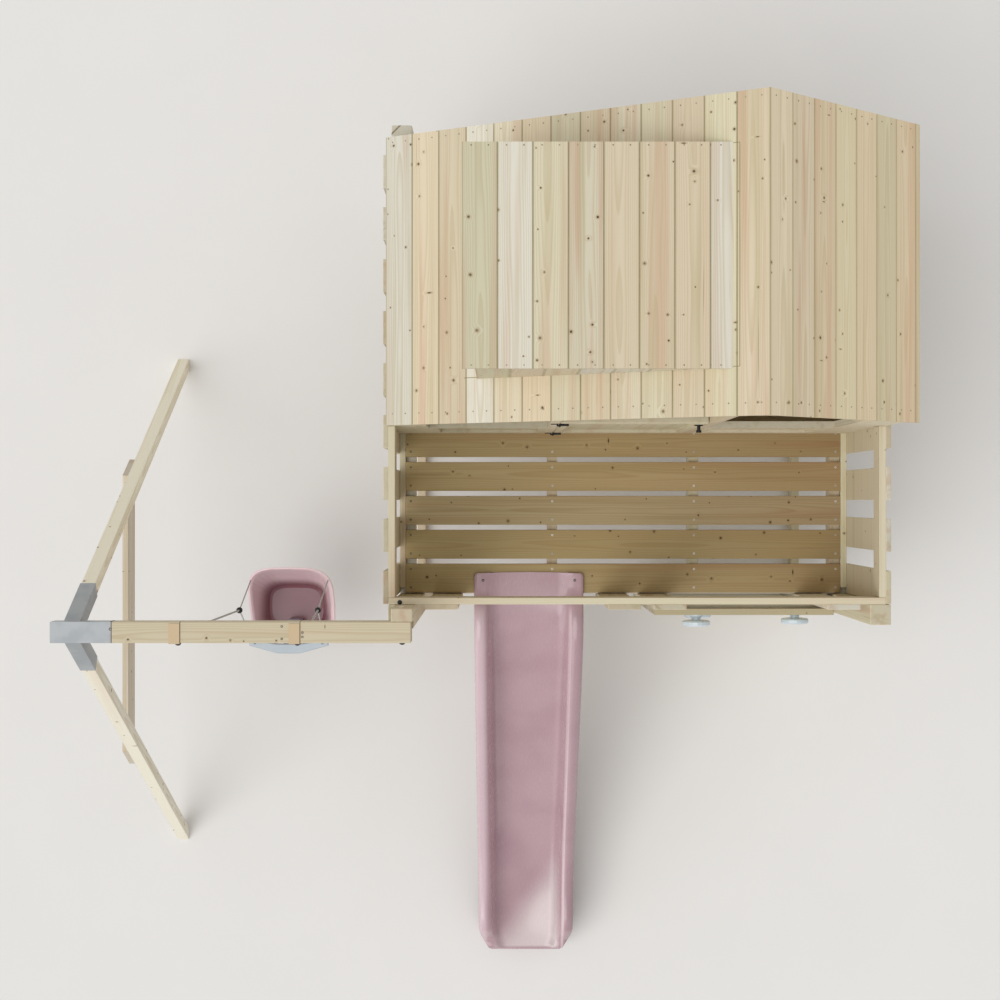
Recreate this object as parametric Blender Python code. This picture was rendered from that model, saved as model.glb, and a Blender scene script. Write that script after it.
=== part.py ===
"""Wooden play tower with a house, a balcony, a slide, a climbing wall and a toddler swing.

Metres, +Z up. While modelling, X runs from the deck's left face, Y from its front face to the
back, and Z from the ground. The last step moves the whole tower onto its origin, which is the
middle of its footprint on the ground.
"""

import math

import bmesh
import bpy
from mathutils import Matrix, Vector

# Fits
GAP = 0.0003            # between pieces that touch
SLOT = 0.003            # round the door
SINK = 0.0005           # how far a fused piece reaches into its carrier
PAST = 0.010            # how far a cutting body stands out of what it cuts
ROPE_HOLE_PLAY = 0.004  # round a rope that a bar slides on
EASE = 0.002            # easing of the timbers' edges
POST_EASE = 0.003
CAP_RADIUS = 0.013      # caps and nuts of the beam's bolts
CAP_HEIGHT = 0.011

# Deck
DECK_WIDTH = 2.035
DECK_TOP = 1.200
BOARD = 0.028           # thickness of rims, rails, deck boards and door frame
RIM_HEIGHT = 0.145
DECK_BOARD_WIDTH = 0.1315
DECK_BOARD_PITCH = 0.1543
DECK_BOARD_COUNT = 5
DECK_BOARD_START = 0.0055
JOIST_WIDTH = 0.045
JOIST_HEIGHT = 0.095
HOUSE_FRONT = 0.730     # front face of the house wall
HOUSE_BACK = 1.8744     # rear face of the back wall

# Posts
POST = 0.084
RAIL_TOP = DECK_TOP + 0.803
BEAM_TOP = DECK_TOP + 1.075
LEFT_POST_X = 0.0283
RIGHT_POST_X = DECK_WIDTH - 0.064
BACK_POST_INSET = 0.0135
CORNER_BOARD_DEPTH = 0.0715
CORNER_BOARD_START = 0.300
SILL_WIDTH = 0.042
SILL_HEIGHT = 0.070

# Railing
RAIL_HEIGHT = 0.110
SLAT = 0.021
SLAT_WIDTH = 0.135
SLAT_PITCH = 0.2125
SLAT_START = 0.002
SLAT_BOTTOM = DECK_TOP - 0.170
FENCE_SLATS = 4
WALL_SLATS = 5
FRONT_SLATS = (0.1505, 0.9000, DECK_WIDTH - 0.950, DECK_WIDTH - 0.239)

# House
CLADDING = 0.018
BOARD_COVER = 0.127
V_HALF = 0.0022
V_DEPTH = 0.003
ROOF_FRONT = 0.7275
ROOF_BACK = 1.887
RIDGE_X = DECK_WIDTH - 0.622
RIDGE_TOP = DECK_TOP + 1.758
LEFT_EAVE_X = -0.002
LEFT_EAVE_TOP = DECK_TOP + 0.908
RIGHT_EAVE_X = DECK_WIDTH + 0.056
RIGHT_EAVE_TOP = DECK_TOP + 1.140
RIDGE_BEAM = 0.120
SILL_PLATE = 0.045
WINDOW_SILL = DECK_TOP + 0.600
HEADER_BOTTOM = DECK_TOP + 1.070
STILE = 0.036
HINGE_POST_X = 0.657
LATCH_POST_X = DECK_WIDTH - 0.7505
RIGHT_JAMB_X = DECK_WIDTH - 0.176
LEFT_JAMB_X = 0.157
DOOR_TOP = DECK_TOP + 1.045
PANEL_RECESS = 0.013
PANEL_RAIL = 0.060
KNOB_X = LATCH_POST_X - 0.0275
KNOB_Z = DECK_TOP + 0.910
KNUCKLE = 0.006
BATTEN = 0.070
MIDDLE_BATTEN = 0.420   # above the deck
TOP_BATTEN = 0.090
SLAT_SHORT = 0.0265     # how far the right wall's slats end below the roof
GABLE_TIP = 0.030       # least height of the gable's board
GABLE_INSET = 0.050
LOWER_HINGE = 0.030     # from the door's lower edge
UPPER_HINGE = 0.050     # from its upper edge
HINGE_HALF = 0.030
STRAP_HALF = 0.016
STRAP = 0.002           # a strap's thickness
KNOB_DISCS = ((-SINK, 0.005, 0.018), (0.004, 0.026, 0.007), (0.022, 0.032, 0.011))   # from, to, radius

# Dormer
DORMER_TOP = RIDGE_TOP - 0.073
DORMER_LOW_X = 0.321
DORMER_Y = (0.8995, 1.707)
DORMER_OVERHANG = 0.046
DORMER_PROUD = 0.002    # dormer roof beyond its cheeks
DORMER_WINDOW = (0.44, 0.26)
WINDOW_DROP = 0.090     # from the dormer's roof to its window
OPENING_LOW = 0.060     # roof left round the opening under the dormer, at its three sides
OPENING_HIGH = 0.110
OPENING_SIDE = 0.035

# Climbing wall
WALL_X = (DECK_WIDTH - 0.878, RIGHT_POST_X - 0.002)
WALL_TOP = DECK_TOP + 0.035
WALL_FRONT = -0.094
WALL_BOARD = 0.1375
HOLDS = ((0.198, 0.085), (0.6745, 0.235), (0.268, 0.640))   # from the wall's left edge, below its top
HOLD_PROFILE = ((0.030, 0.0), (0.030, 0.010), (0.021, 0.017), (0.021, 0.026),
                (0.059, 0.030), (0.065, 0.036), (0.065, 0.048), (0.057, 0.055))   # radius and height
UPRIGHT_SHORT = 0.010   # how far the uprights end below the wall's top

# Slide
SLIDE_CENTRE = 0.588
SLIDE_WIDTH = 0.489
SLIDE_WALL = 0.130
SLIDE_SHEET = 0.005
SLIDE_FRONT = -1.559 * DECK_TOP   # where the bed ends
SLIDE_ANGLE = math.radians(38)
SLIDE_TOP_RADIUS = 0.250
SLIDE_RUN_OUT = 0.160
SLIDE_SKIRT = 0.060
SLIDE_LEVEL = 0.120     # level run at the foot of the bed
SLIDE_NOSE = 0.170      # length over which the run-out narrows to its round nose
SLIDE_NOSE_NARROWS = 0.21
SLIDE_FLANGE = 0.071    # how far its flange lies on the deck
SLIDE_CORNER = 0.014    # radius of the flange's corners
SLIDE_RISE = (0.060, 0.260)       # where its walls start to rise, and over what length
SLIDE_FALL = (0.035, 0.085)       # the same at the run-out's end
SLIDE_NARROWS = 0.03    # share by which the trough is narrower at its foot
BED_NARROWS = 0.10
# Beyond the bed's edge, then beyond the half width, each with the share of the wall's height
BED_EDGE = ((0.0, 0.092), (0.016, 0.815), (0.024, 0.935), (0.034, 1.023))
SLIDE_EDGE = ((-0.012, 1.023), (0.0, 0.938))
SLIDE_TOP_END = -0.020  # where the level top ends, in front of the deck
BED_HALF = 0.172

# Swing frame
NOTCH = 0.033
BEAM_END_X = 0.107
BEAM_LEFT_X = -1.3095
SHEET = 0.003
BRACKET_LENGTH = 0.240
LEG = 0.056
LEG_X = -1.2385         # at the beam
LEG_LEAN = 0.0161       # how much nearer the tower the legs stand, per metre below the beam
LEG_ANGLE = math.radians(61.2)
LEG_START = 0.100
SOCKET_START = 0.020
SOCKET_END = 0.315
SPREADER = 0.025        # thickness of the board across the legs
SPREADER_LOW = 1.000
SPREADER_HIGH = 1.140

# Swing
SEAT_X = -0.558
HANGER_HALF = 0.236
BAND_WIDTH = 0.043
BAND_SHIFT = 0.030      # band centre to the left of its hook
BAND_SHORT = 0.007      # how far the band ends short of the beam's rear face
CAP_SHIFT = 0.008       # cap to the right of the band's middle
PLATE_END = 0.022       # plate beyond its hook
EYE_RADIUS = 0.016
WIRE = 0.004
HOOK_HEIGHT = 0.090
HOOK_HALF = 0.018
HOOK_CORNER = 0.012
ROPE = 0.005
BALL_RADIUS = 0.013
BALL_HALF = 0.180
BALL_Z = 1.140
BALL_FORWARD = -0.015
SEAT_HALF = 0.208
SEAT_LENGTH = 0.345
SEAT_BOTTOM = 0.430
SEAT_BACK_TOP = 0.800
SEAT_FRONT_TOP = 0.560
SEAT_SHEET = 0.005
SEAT_LEAN = 0.020       # how far the back leans at its top
SEAT_FLOOR_SHIFT = 0.012
SEAT_RIM = (0.985, 0.985, 1.0)    # width, length and height of a ring of the seat, as shares
SEAT_RINGS = ((0.30, 0.28, 0.0), (0.59, 0.52, 0.002), (0.655, 0.60, 0.03), (0.73, 0.68, 0.20),
              (0.84, 0.84, 0.60), (0.92, 0.94, 0.95), (0.955, 0.965, 1.0), SEAT_RIM, (1.0, 1.0, 0.93))
SEAT_SIDES = 28
SEAT_CORNER = 4         # which point of a ring is its corner
SEAT_SQUARENESS = 0.55
SEAT_BACK_CURVE = 1.6
SEAT_SHIFT = 0.006      # seat's middle behind the beam's, so that it hangs level
BAR_HALF = 0.170
BAR_Z = 0.750
BAR_FORWARD = 0.165     # bar's eyes in front of the beam's middle
BAR_HEIGHT = 0.034
BAR_END = 0.020         # beyond its eyes
BAR_DEPTH = 0.014       # half of its depth at the eyes
BAR_SWELL = (0.038, 0.020)        # how far its front and its back curve forward
BAR_FLAT = 0.28         # share of its half that is straight
BAR_STATIONS = (-1.0, -0.9, -0.6, -0.3, -0.2, 0.0, 0.2, 0.3, 0.6, 0.9, 1.0)
STEM = 0.012
STEM_HALF = 0.030
STEM_PLACE = 0.500      # where the stem stands, as a share of half the seat's length
STRAND = 0.004
FRONT_BEND = 1.12       # where the front strands turn to the seat, as a share of ball to bar

# Places that follow from the sizes above
tenon = POST - 2 * (SHEET + 2 * GAP)
beam_back = -GAP - POST + NOTCH - GAP
beam_front = beam_back - POST
beam_y = beam_back - POST / 2
beam_bottom = BEAM_TOP - POST
beam_axis_z = BEAM_TOP - POST / 2
deck_under = DECK_TOP - BOARD
sill_top = DECK_TOP + GAP + SILL_PLATE
left_pitch = (RIDGE_TOP - LEFT_EAVE_TOP) / (RIDGE_X - LEFT_EAVE_X)
right_pitch = (RIDGE_TOP - RIGHT_EAVE_TOP) / (RIGHT_EAVE_X - RIDGE_X)
eye_z = beam_bottom - SHEET - GAP - EYE_RADIUS
hook_z = eye_z - (EYE_RADIUS - WIRE) + WIRE + GAP
seated = 0.6 * WIRE     # eyes and hooks hang this much lower
hinge_x = HINGE_POST_X + STILE + SLOT / 2
hinge_y = HOUSE_FRONT - KNUCKLE - 0.001
seat_middle = beam_y + SEAT_SHIFT
BALL = Vector((BALL_HALF, beam_y - BALL_FORWARD, BALL_Z))
BAR_EYE = Vector((BAR_HALF, beam_y - BAR_FORWARD, BAR_Z))

materials = {}
root = None


def material(name, color, roughness, metallic=0.0):
    """Make one Principled material, or return the one already made."""
    if name not in materials:
        made = bpy.data.materials.new(name)
        made.use_nodes = True
        shader = made.node_tree.nodes["Principled BSDF"]
        shader.inputs["Base Color"].default_value = (*color, 1.0)
        shader.inputs["Roughness"].default_value = roughness
        shader.inputs["Metallic"].default_value = metallic
        materials[name] = made
    return materials[name]


def pine():
    return material("pine", (0.76, 0.66, 0.44), 0.62)


def steel():
    return material("grey_steel", (0.27, 0.28, 0.30), 0.45, 0.7)


def black_steel():
    return material("black_steel", (0.012, 0.012, 0.012), 0.4, 0.6)


def pink():
    return material("pink_plastic", (0.66, 0.44, 0.49), 0.28)


def pale_blue():
    return material("pale_blue_plastic", (0.58, 0.68, 0.74), 0.25)


def cord():
    return material("grey_rope", (0.38, 0.37, 0.35), 0.9)


def link(name, mesh, look, smooth=0.0):
    """Put a mesh in the scene as a named part with its material."""
    obj = bpy.data.objects.new(name, mesh)
    bpy.context.scene.collection.objects.link(obj)
    mesh.materials.clear()
    mesh.materials.append(look)
    if smooth:
        mesh.shade_smooth()
        mesh.set_sharp_from_angle(angle=math.radians(smooth))
    obj.parent = root
    return obj


def mesh_from(name, bm):
    """Close a bmesh into a mesh with its faces pointing out."""
    bmesh.ops.recalc_face_normals(bm, faces=bm.faces)
    mesh = bpy.data.meshes.new(name)
    bm.to_mesh(mesh)
    bm.free()
    return mesh


def box_mesh(name, low, high, round_edge=0.0):
    """A box from corner to corner, with rounded edges where asked."""
    bm = bmesh.new()
    size = Vector(high) - Vector(low)
    middle = (Vector(high) + Vector(low)) / 2
    bmesh.ops.create_cube(bm, size=1.0, matrix=Matrix.Translation(middle) @ Matrix.Diagonal((*size, 1.0)))
    if round_edge:
        bmesh.ops.bevel(bm, geom=bm.edges, offset=round_edge, segments=1, affect="EDGES")
    return mesh_from(name, bm)


def timber(name, low, high, round_edge=EASE):
    """One planed timber with eased edges."""
    return link(name, box_mesh(name, low, high, round_edge), pine())


def prism_mesh(name, outline, axis, start, end):
    """An outline extruded along X or Y. The outline is in (Y, Z) or (X, Z)."""
    bm = bmesh.new()
    if axis == "X":
        corners = [bm.verts.new((start, u, v)) for u, v in outline]
        step = Vector((end - start, 0, 0))
    else:
        corners = [bm.verts.new((u, start, v)) for u, v in outline]
        step = Vector((0, end - start, 0))
    face = bm.faces.new(corners)
    grown = bmesh.ops.extrude_face_region(bm, geom=[face])
    moved = [item for item in grown["geom"] if isinstance(item, bmesh.types.BMVert)]
    bmesh.ops.translate(bm, verts=moved, vec=step)
    return mesh_from(name, bm)


def cylinder_mesh(name, start, end, radius, sides=16, end_radius=None):
    """A round bar between two points, or a cone where the end radius differs."""
    start, end = Vector(start), Vector(end)
    run = end - start
    turn = run.to_track_quat("Z", "Y").to_matrix().to_4x4()
    bm = bmesh.new()
    bmesh.ops.create_cone(bm, cap_ends=True, segments=sides, radius1=radius,
                          radius2=radius if end_radius is None else end_radius, depth=run.length,
                          matrix=Matrix.Translation((start + end) / 2) @ turn)
    return mesh_from(name, bm)


def cap_mesh(name, centre, side):
    """A domed bolt cap whose flat side is at centre and which rises along Y towards side."""
    bm = bmesh.new()
    rings = 4
    sides = 14
    loops = []
    for ring in range(rings):
        angle = math.pi / 2 * ring / rings
        radius = CAP_RADIUS * math.cos(angle)
        loops.append([bm.verts.new((centre[0] + radius * math.cos(turn),
                                    centre[1] + side * CAP_HEIGHT * math.sin(angle),
                                    centre[2] + radius * math.sin(turn)))
                      for turn in [2 * math.pi * step / sides for step in range(sides)]])
    for lower, upper in zip(loops, loops[1:]):
        bmesh.ops.bridge_loops(bm, edges=loop_edges(bm, lower) + loop_edges(bm, upper))
    bm.faces.new(loops[0])
    bm.faces.new(loops[-1])
    return mesh_from(name, bm)


def loop_edges(bm, verts):
    """The edges of a closed loop of vertices, made where they are missing."""
    edges = []
    for here, there in zip(verts, verts[1:] + verts[:1]):
        edges.append(bm.edges.get((here, there)) or bm.edges.new((here, there)))
    return edges


def tube_mesh(name, points, radius, resolution, cyclic=False):
    """A round tube along points, with its ends closed."""
    curve = bpy.data.curves.new(name, "CURVE")
    curve.dimensions = "3D"
    curve.bevel_depth = radius
    curve.bevel_resolution = resolution
    curve.use_fill_caps = True
    spline = curve.splines.new("POLY")
    spline.points.add(len(points) - 1)
    for item, point in zip(spline.points, points):
        item.co = (*point, 1.0)
    spline.use_cyclic_u = cyclic
    holder = bpy.data.objects.new(name, curve)
    mesh = bpy.data.meshes.new_from_object(holder)
    bpy.data.objects.remove(holder)
    return mesh


def combine(body, mesh, operation):
    """Join a mesh to a body, or cut it from the body, and keep the plain result."""
    tool = bpy.data.objects.new("tool", mesh)
    bpy.context.scene.collection.objects.link(tool)
    tool.parent = root
    change = body.modifiers.new(operation.lower(), "BOOLEAN")
    change.operation = operation
    change.solver = "EXACT"
    change.object = tool
    bpy.context.view_layer.update()
    result = bpy.data.meshes.new_from_object(body.evaluated_get(bpy.context.evaluated_depsgraph_get()))
    body.modifiers.remove(change)
    look = body.data.materials[0]
    body.data = result
    result.materials.clear()
    result.materials.append(look)
    for face in result.polygons:
        face.material_index = 0
    bpy.data.objects.remove(tool)


def join(body, mesh):
    combine(body, mesh, "UNION")


def cut(body, mesh):
    combine(body, mesh, "DIFFERENCE")


def smooth(body, angle=35.0):
    body.data.shade_smooth()
    body.data.set_sharp_from_angle(angle=math.radians(angle))


def roof_top(x):
    """Height of the roof's upper face above a place on the deck's width."""
    if x <= RIDGE_X:
        return LEFT_EAVE_TOP + (x - LEFT_EAVE_X) * left_pitch
    return RIGHT_EAVE_TOP + (RIGHT_EAVE_X - x) * right_pitch


def slope_x(height):
    """Where the left slope's upper face reaches a height."""
    return LEFT_EAVE_X + (height - LEFT_EAVE_TOP) / left_pitch


def roof_under(x):
    """Height of the roof's lower face, less the gap that the walls keep to it."""
    pitch = left_pitch if x <= RIDGE_X else right_pitch
    return roof_top(x) - CLADDING * math.hypot(1.0, pitch) - GAP


def grooved_outline(start, end, flip=False):
    """Upper side of tongue-and-groove boards between two (X, Z) points, V-joints included."""
    run = end - start
    along = run.normalized()
    inward = Vector((along.y, -along.x)) * (-1 if flip else 1)
    points = [start]
    for joint in range(1, math.ceil(run.length / BOARD_COVER)):
        place = start + along * BOARD_COVER * joint
        if (place - start).length > run.length - 2 * V_HALF:
            break
        points += [place - along * V_HALF, place + inward * V_DEPTH, place + along * V_HALF]
    points.append(end)
    return points, inward


def posts():
    """Four square posts. The front left one is taller and notched for the swing beam."""
    front = -GAP - POST
    post = timber("post_front_left", (LEFT_POST_X, front, 0), (LEFT_POST_X + POST, -GAP, BEAM_TOP), POST_EASE)
    cut(post, box_mesh("notch", (LEFT_POST_X - PAST, front - PAST, beam_bottom - GAP),
                       (LEFT_POST_X + POST + PAST, front + NOTCH, BEAM_TOP + PAST)))
    bolt_x = LEFT_POST_X + POST / 2
    join(post, cap_mesh("nut", (bolt_x, -GAP - SINK, beam_axis_z), 1))
    timber("post_front_right", (RIGHT_POST_X, front, 0), (RIGHT_POST_X + POST, -GAP, RAIL_TOP), POST_EASE)
    back = HOUSE_BACK + GAP
    left = BACK_POST_INSET
    right = DECK_WIDTH - BACK_POST_INSET - POST
    for name, x in (("post_back_left", left), ("post_back_right", right)):
        timber(name, (x, back, 0), (x + POST, back + POST, RAIL_TOP), POST_EASE)
    timber("corner_board", (0, -GAP - CORNER_BOARD_DEPTH, CORNER_BOARD_START),
           (LEFT_POST_X - GAP, -GAP, RAIL_TOP))


def ground_sills():
    """Ground beams that tie each front post to the back post behind it."""
    for name, x in (("ground_sill_left", LEFT_POST_X), ("ground_sill_right", RIGHT_POST_X)):
        timber(name, (x, 0, 0.0), (x + SILL_WIDTH, HOUSE_BACK, SILL_HEIGHT))


def deck():
    """Rims, joists and boards of the deck."""
    rim_bottom = DECK_TOP - RIM_HEIGHT
    timber("rim_front", (GAP, GAP, rim_bottom), (DECK_WIDTH - GAP, BOARD, deck_under - GAP))
    rim_y = BOARD + GAP
    timber("rim_left", (GAP, rim_y, rim_bottom), (BOARD, HOUSE_BACK, DECK_TOP))
    timber("rim_right", (DECK_WIDTH - BOARD, rim_y, rim_bottom), (DECK_WIDTH - GAP, HOUSE_BACK, DECK_TOP))
    first = BOARD + GAP
    last = DECK_WIDTH - BOARD - GAP - JOIST_WIDTH
    for index in range(4):
        x = first + (last - first) * index / 3
        timber(f"joist_{index + 1}", (x, rim_y, deck_under - GAP - JOIST_HEIGHT),
               (x + JOIST_WIDTH, HOUSE_BACK, deck_under - GAP))
    for index in range(DECK_BOARD_COUNT):
        y = DECK_BOARD_START + DECK_BOARD_PITCH * index
        timber(f"deck_board_{index + 1}", (BOARD + GAP, y, deck_under),
               (DECK_WIDTH - BOARD - GAP, y + DECK_BOARD_WIDTH, DECK_TOP))
    floor_start = DECK_BOARD_START + DECK_BOARD_PITCH * DECK_BOARD_COUNT
    outline = [(floor_start, deck_under), (floor_start, DECK_TOP)]
    joint = floor_start + BOARD_COVER
    while joint < HOUSE_BACK - V_HALF * 2:
        outline += [(joint - V_HALF, DECK_TOP), (joint, DECK_TOP - V_DEPTH), (joint + V_HALF, DECK_TOP)]
        joint += BOARD_COVER
    outline += [(HOUSE_BACK, DECK_TOP), (HOUSE_BACK, deck_under)]
    mesh = prism_mesh("house_floor", outline, "X", BOARD + GAP, DECK_WIDTH - BOARD - GAP)
    link("house_floor", mesh, pine())


def slatted_side(name, side, first, count, front, back, battens, top):
    """Battens along Y with slats outside them, fused as one fence or wall panel."""
    face = 0.0 if side < 0 else DECK_WIDTH
    sunk = face + side * SINK
    inner = face - side * BOARD
    body = None
    for low_z, high_z in battens:
        low = (min(sunk, inner), front, low_z)
        high = (max(sunk, inner), back, high_z)
        if body is None:
            body = timber(name, low, high)
        else:
            add_body(body, box_mesh("batten", low, high, EASE))
    outer = face + side * SLAT
    for index in range(first, first + count):
        y = SLAT_START + SLAT_PITCH * index
        join(body, box_mesh("slat", (min(face, outer), y, SLAT_BOTTOM),
                            (max(face, outer), y + SLAT_WIDTH, top), EASE))
    return body


def add_body(body, mesh):
    """Add a mesh to an object beside what it holds already."""
    bm = bmesh.new()
    bm.from_mesh(body.data)
    bm.from_mesh(mesh)
    bm.to_mesh(body.data)
    bm.free()


def railings():
    """Side railings with slats, the long front rail and its four slats."""
    rail = ((RAIL_TOP - RAIL_HEIGHT, RAIL_TOP),)
    end = HOUSE_FRONT - GAP
    slatted_side("railing_left", -1, 0, FENCE_SLATS, BOARD + GAP, end, rail, RAIL_TOP)
    slatted_side("railing_right", 1, 0, FENCE_SLATS, BOARD + GAP, end, rail, RAIL_TOP)
    timber("rail_front", (GAP, GAP, RAIL_TOP - RAIL_HEIGHT), (DECK_WIDTH - GAP, BOARD, RAIL_TOP))
    for index, x in enumerate(FRONT_SLATS):
        timber(f"front_slat_{index + 1}", (x, -SLAT, SLAT_BOTTOM), (x + SLAT_WIDTH, 0, RAIL_TOP))


def gable_outline(low_x, high_x, bottom):
    """A wall from a level line up to the roof's underside."""
    points = [(low_x, bottom), (high_x, bottom), (high_x, roof_under(high_x))]
    if low_x < RIDGE_X < high_x:
        points.append((RIDGE_X, min(roof_under(RIDGE_X), roof_under(RIDGE_X + 1e-6))))
    return points + [(low_x, roof_under(low_x))]


def house_walls():
    """Side walls of battens and slats, and a boarded back wall up to the roof."""
    last_fence_slat = SLAT_START + SLAT_PITCH * (FENCE_SLATS - 1) + SLAT_WIDTH
    front = max(HOUSE_FRONT + BOARD, last_fence_slat) + GAP
    back = HOUSE_BACK - CLADDING - GAP
    foot = DECK_TOP + GAP
    left_top = roof_under(0)
    right_top = roof_under(DECK_WIDTH)
    for name, side, plate in (("house_wall_left", -1, left_top), ("house_wall_right", 1, right_top)):
        middle = DECK_TOP + MIDDLE_BATTEN
        battens = ((foot, foot + BATTEN), (middle, middle + BATTEN), (plate - TOP_BATTEN, plate))
        top = RAIL_TOP if side < 0 else plate - SLAT_SHORT
        slatted_side(name, side, FENCE_SLATS, WALL_SLATS, front, back, battens, top)
    outline = gable_outline(GAP, DECK_WIDTH - GAP, foot)
    mesh = prism_mesh("house_wall_back", outline, "Y", HOUSE_BACK - CLADDING, HOUSE_BACK)
    link("house_wall_back", mesh, pine())


def recess(body, low, high):
    """Let the front of a framed panel in between its rails and stiles, from corner to corner in (X, Z)."""
    cut(body, box_mesh("recess", (low[0] + STILE, HOUSE_FRONT - PAST, low[1] + PANEL_RAIL),
                       (high[0] - STILE, HOUSE_FRONT + PANEL_RECESS, high[1] - PANEL_RAIL)))


def house_front():
    """Sill, panelled bays, gable, hinge post, latch post and the door with its knob."""
    y, back = HOUSE_FRONT, HOUSE_FRONT + BOARD
    timber("front_sill", (GAP, y, DECK_TOP + GAP), (DECK_WIDTH - GAP, back, DECK_TOP + SILL_PLATE))
    for name, x in (("hinge_post", HINGE_POST_X), ("latch_post", LATCH_POST_X)):
        link(name, prism_mesh(name, gable_outline(x, x + STILE, sill_top), "Y", y, back), pine())
    left = link("front_wall_left", prism_mesh("front_wall_left", [
        (GAP, sill_top), (HINGE_POST_X - GAP, sill_top), (HINGE_POST_X - GAP, WINDOW_SILL),
        (LEFT_JAMB_X, WINDOW_SILL), (LEFT_JAMB_X, roof_under(LEFT_JAMB_X)), (GAP, roof_under(GAP))],
        "Y", y, back), pine())
    right_start = LATCH_POST_X + STILE + GAP
    right = link("front_wall_right", prism_mesh("front_wall_right", [
        (right_start, sill_top), (DECK_WIDTH - GAP, sill_top), (DECK_WIDTH - GAP, roof_under(DECK_WIDTH)),
        (RIGHT_JAMB_X, roof_under(RIGHT_JAMB_X)), (RIGHT_JAMB_X, WINDOW_SILL), (right_start, WINDOW_SILL)],
        "Y", y, back), pine())
    for body, start, end in ((left, LEFT_JAMB_X, HINGE_POST_X), (right, right_start, RIGHT_JAMB_X)):
        recess(body, (start, sill_top), (end, WINDOW_SILL))
    low_x = LEFT_EAVE_X + (HEADER_BOTTOM + GABLE_TIP - LEFT_EAVE_TOP + 1.2 * CLADDING) / left_pitch
    mesh = prism_mesh("front_gable", gable_outline(low_x, DECK_WIDTH - GABLE_INSET, HEADER_BOTTOM), "Y",
                      back + GAP, back + GAP + CLADDING)
    link("front_gable", mesh, pine())


def door():
    """Framed panel door on two strap hinges, with a knob."""
    y = HOUSE_FRONT
    low_x, low_z = hinge_x + SLOT / 2, sill_top + SLOT
    leaf = timber("door", (low_x, y, low_z), (LATCH_POST_X - SLOT, y + BOARD, DOOR_TOP))
    recess(leaf, (low_x, low_z), (LATCH_POST_X - SLOT, DOOR_TOP))
    post = bpy.data.objects["hinge_post"]
    for z in (low_z + LOWER_HINGE, DOOR_TOP - UPPER_HINGE):
        low, high = z - STRAP_HALF, z + STRAP_HALF
        join(leaf, cylinder_mesh("knuckle", (hinge_x, hinge_y, z - HINGE_HALF),
                                 (hinge_x, hinge_y, z + HINGE_HALF), KNUCKLE, 12))
        join(leaf, box_mesh("strap", (hinge_x + STRAP, hinge_y - STRAP, low),
                            (hinge_x + STILE, y + 2 * SINK, high)))
        join(post, box_mesh("strap", (HINGE_POST_X + STRAP, y - STRAP - 2 * SINK, low),
                            (hinge_x - KNUCKLE - GAP, y + 2 * SINK, high)))
        join(post, box_mesh("lip", (hinge_x - 2 * KNUCKLE, hinge_y - STRAP - 2 * SINK, low + 2 * SINK),
                            (hinge_x - KNUCKLE - 1.5 * GAP, y, high - 2 * SINK)))
    for start, end, radius in KNOB_DISCS:
        join(leaf, cylinder_mesh("knob", (KNOB_X, y - start, KNOB_Z), (KNOB_X, y - end, KNOB_Z), radius))
    smooth(leaf)


def roof_slope(name, start, end, flip):
    """Boards of one slope in tongue and groove, from the ridge down to the eave."""
    upper, inward = grooved_outline(start, end, flip)
    pitch = abs(end.y - start.y) / abs(end.x - start.x)
    drop = CLADDING * math.hypot(1.0, pitch)
    outline = [tuple(point) for point in upper] + [tuple(end + inward * CLADDING), (start.x, start.y - drop)]
    return link(name, prism_mesh(name, outline, "Y", ROOF_FRONT, ROOF_BACK), pine())


def roof():
    """Two slopes of boards on a ridge beam, with an opening under the dormer."""
    left = roof_slope("roof_left", Vector((RIDGE_X - GAP / 2, RIDGE_TOP)),
                      Vector((LEFT_EAVE_X, LEFT_EAVE_TOP)), True)
    roof_slope("roof_right", Vector((RIDGE_X + GAP / 2, RIDGE_TOP)),
               Vector((RIGHT_EAVE_X, RIGHT_EAVE_TOP)), False)
    front_y, back_y = DORMER_Y
    opening_low = DORMER_LOW_X + DORMER_OVERHANG + OPENING_LOW
    cut(left, box_mesh("opening", (opening_low, front_y + OPENING_SIDE, LEFT_EAVE_TOP),
                       (slope_x(DORMER_TOP) - OPENING_HIGH, back_y - OPENING_SIDE, RIDGE_TOP)))
    half = JOIST_WIDTH / 2
    bottom = roof_under(RIDGE_X) - RIDGE_BEAM
    outline = [(RIDGE_X - half, bottom), (RIDGE_X + half, bottom),
               (RIDGE_X + half, roof_under(RIDGE_X + half)),
               (RIDGE_X, min(roof_under(RIDGE_X), roof_under(RIDGE_X + 1e-6))),
               (RIDGE_X - half, roof_under(RIDGE_X - half))]
    start = HOUSE_FRONT + BOARD + CLADDING + 3 * GAP
    mesh = prism_mesh("ridge_beam", outline, "Y", start, HOUSE_BACK - CLADDING - GAP)
    link("ridge_beam", mesh, pine())


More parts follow.
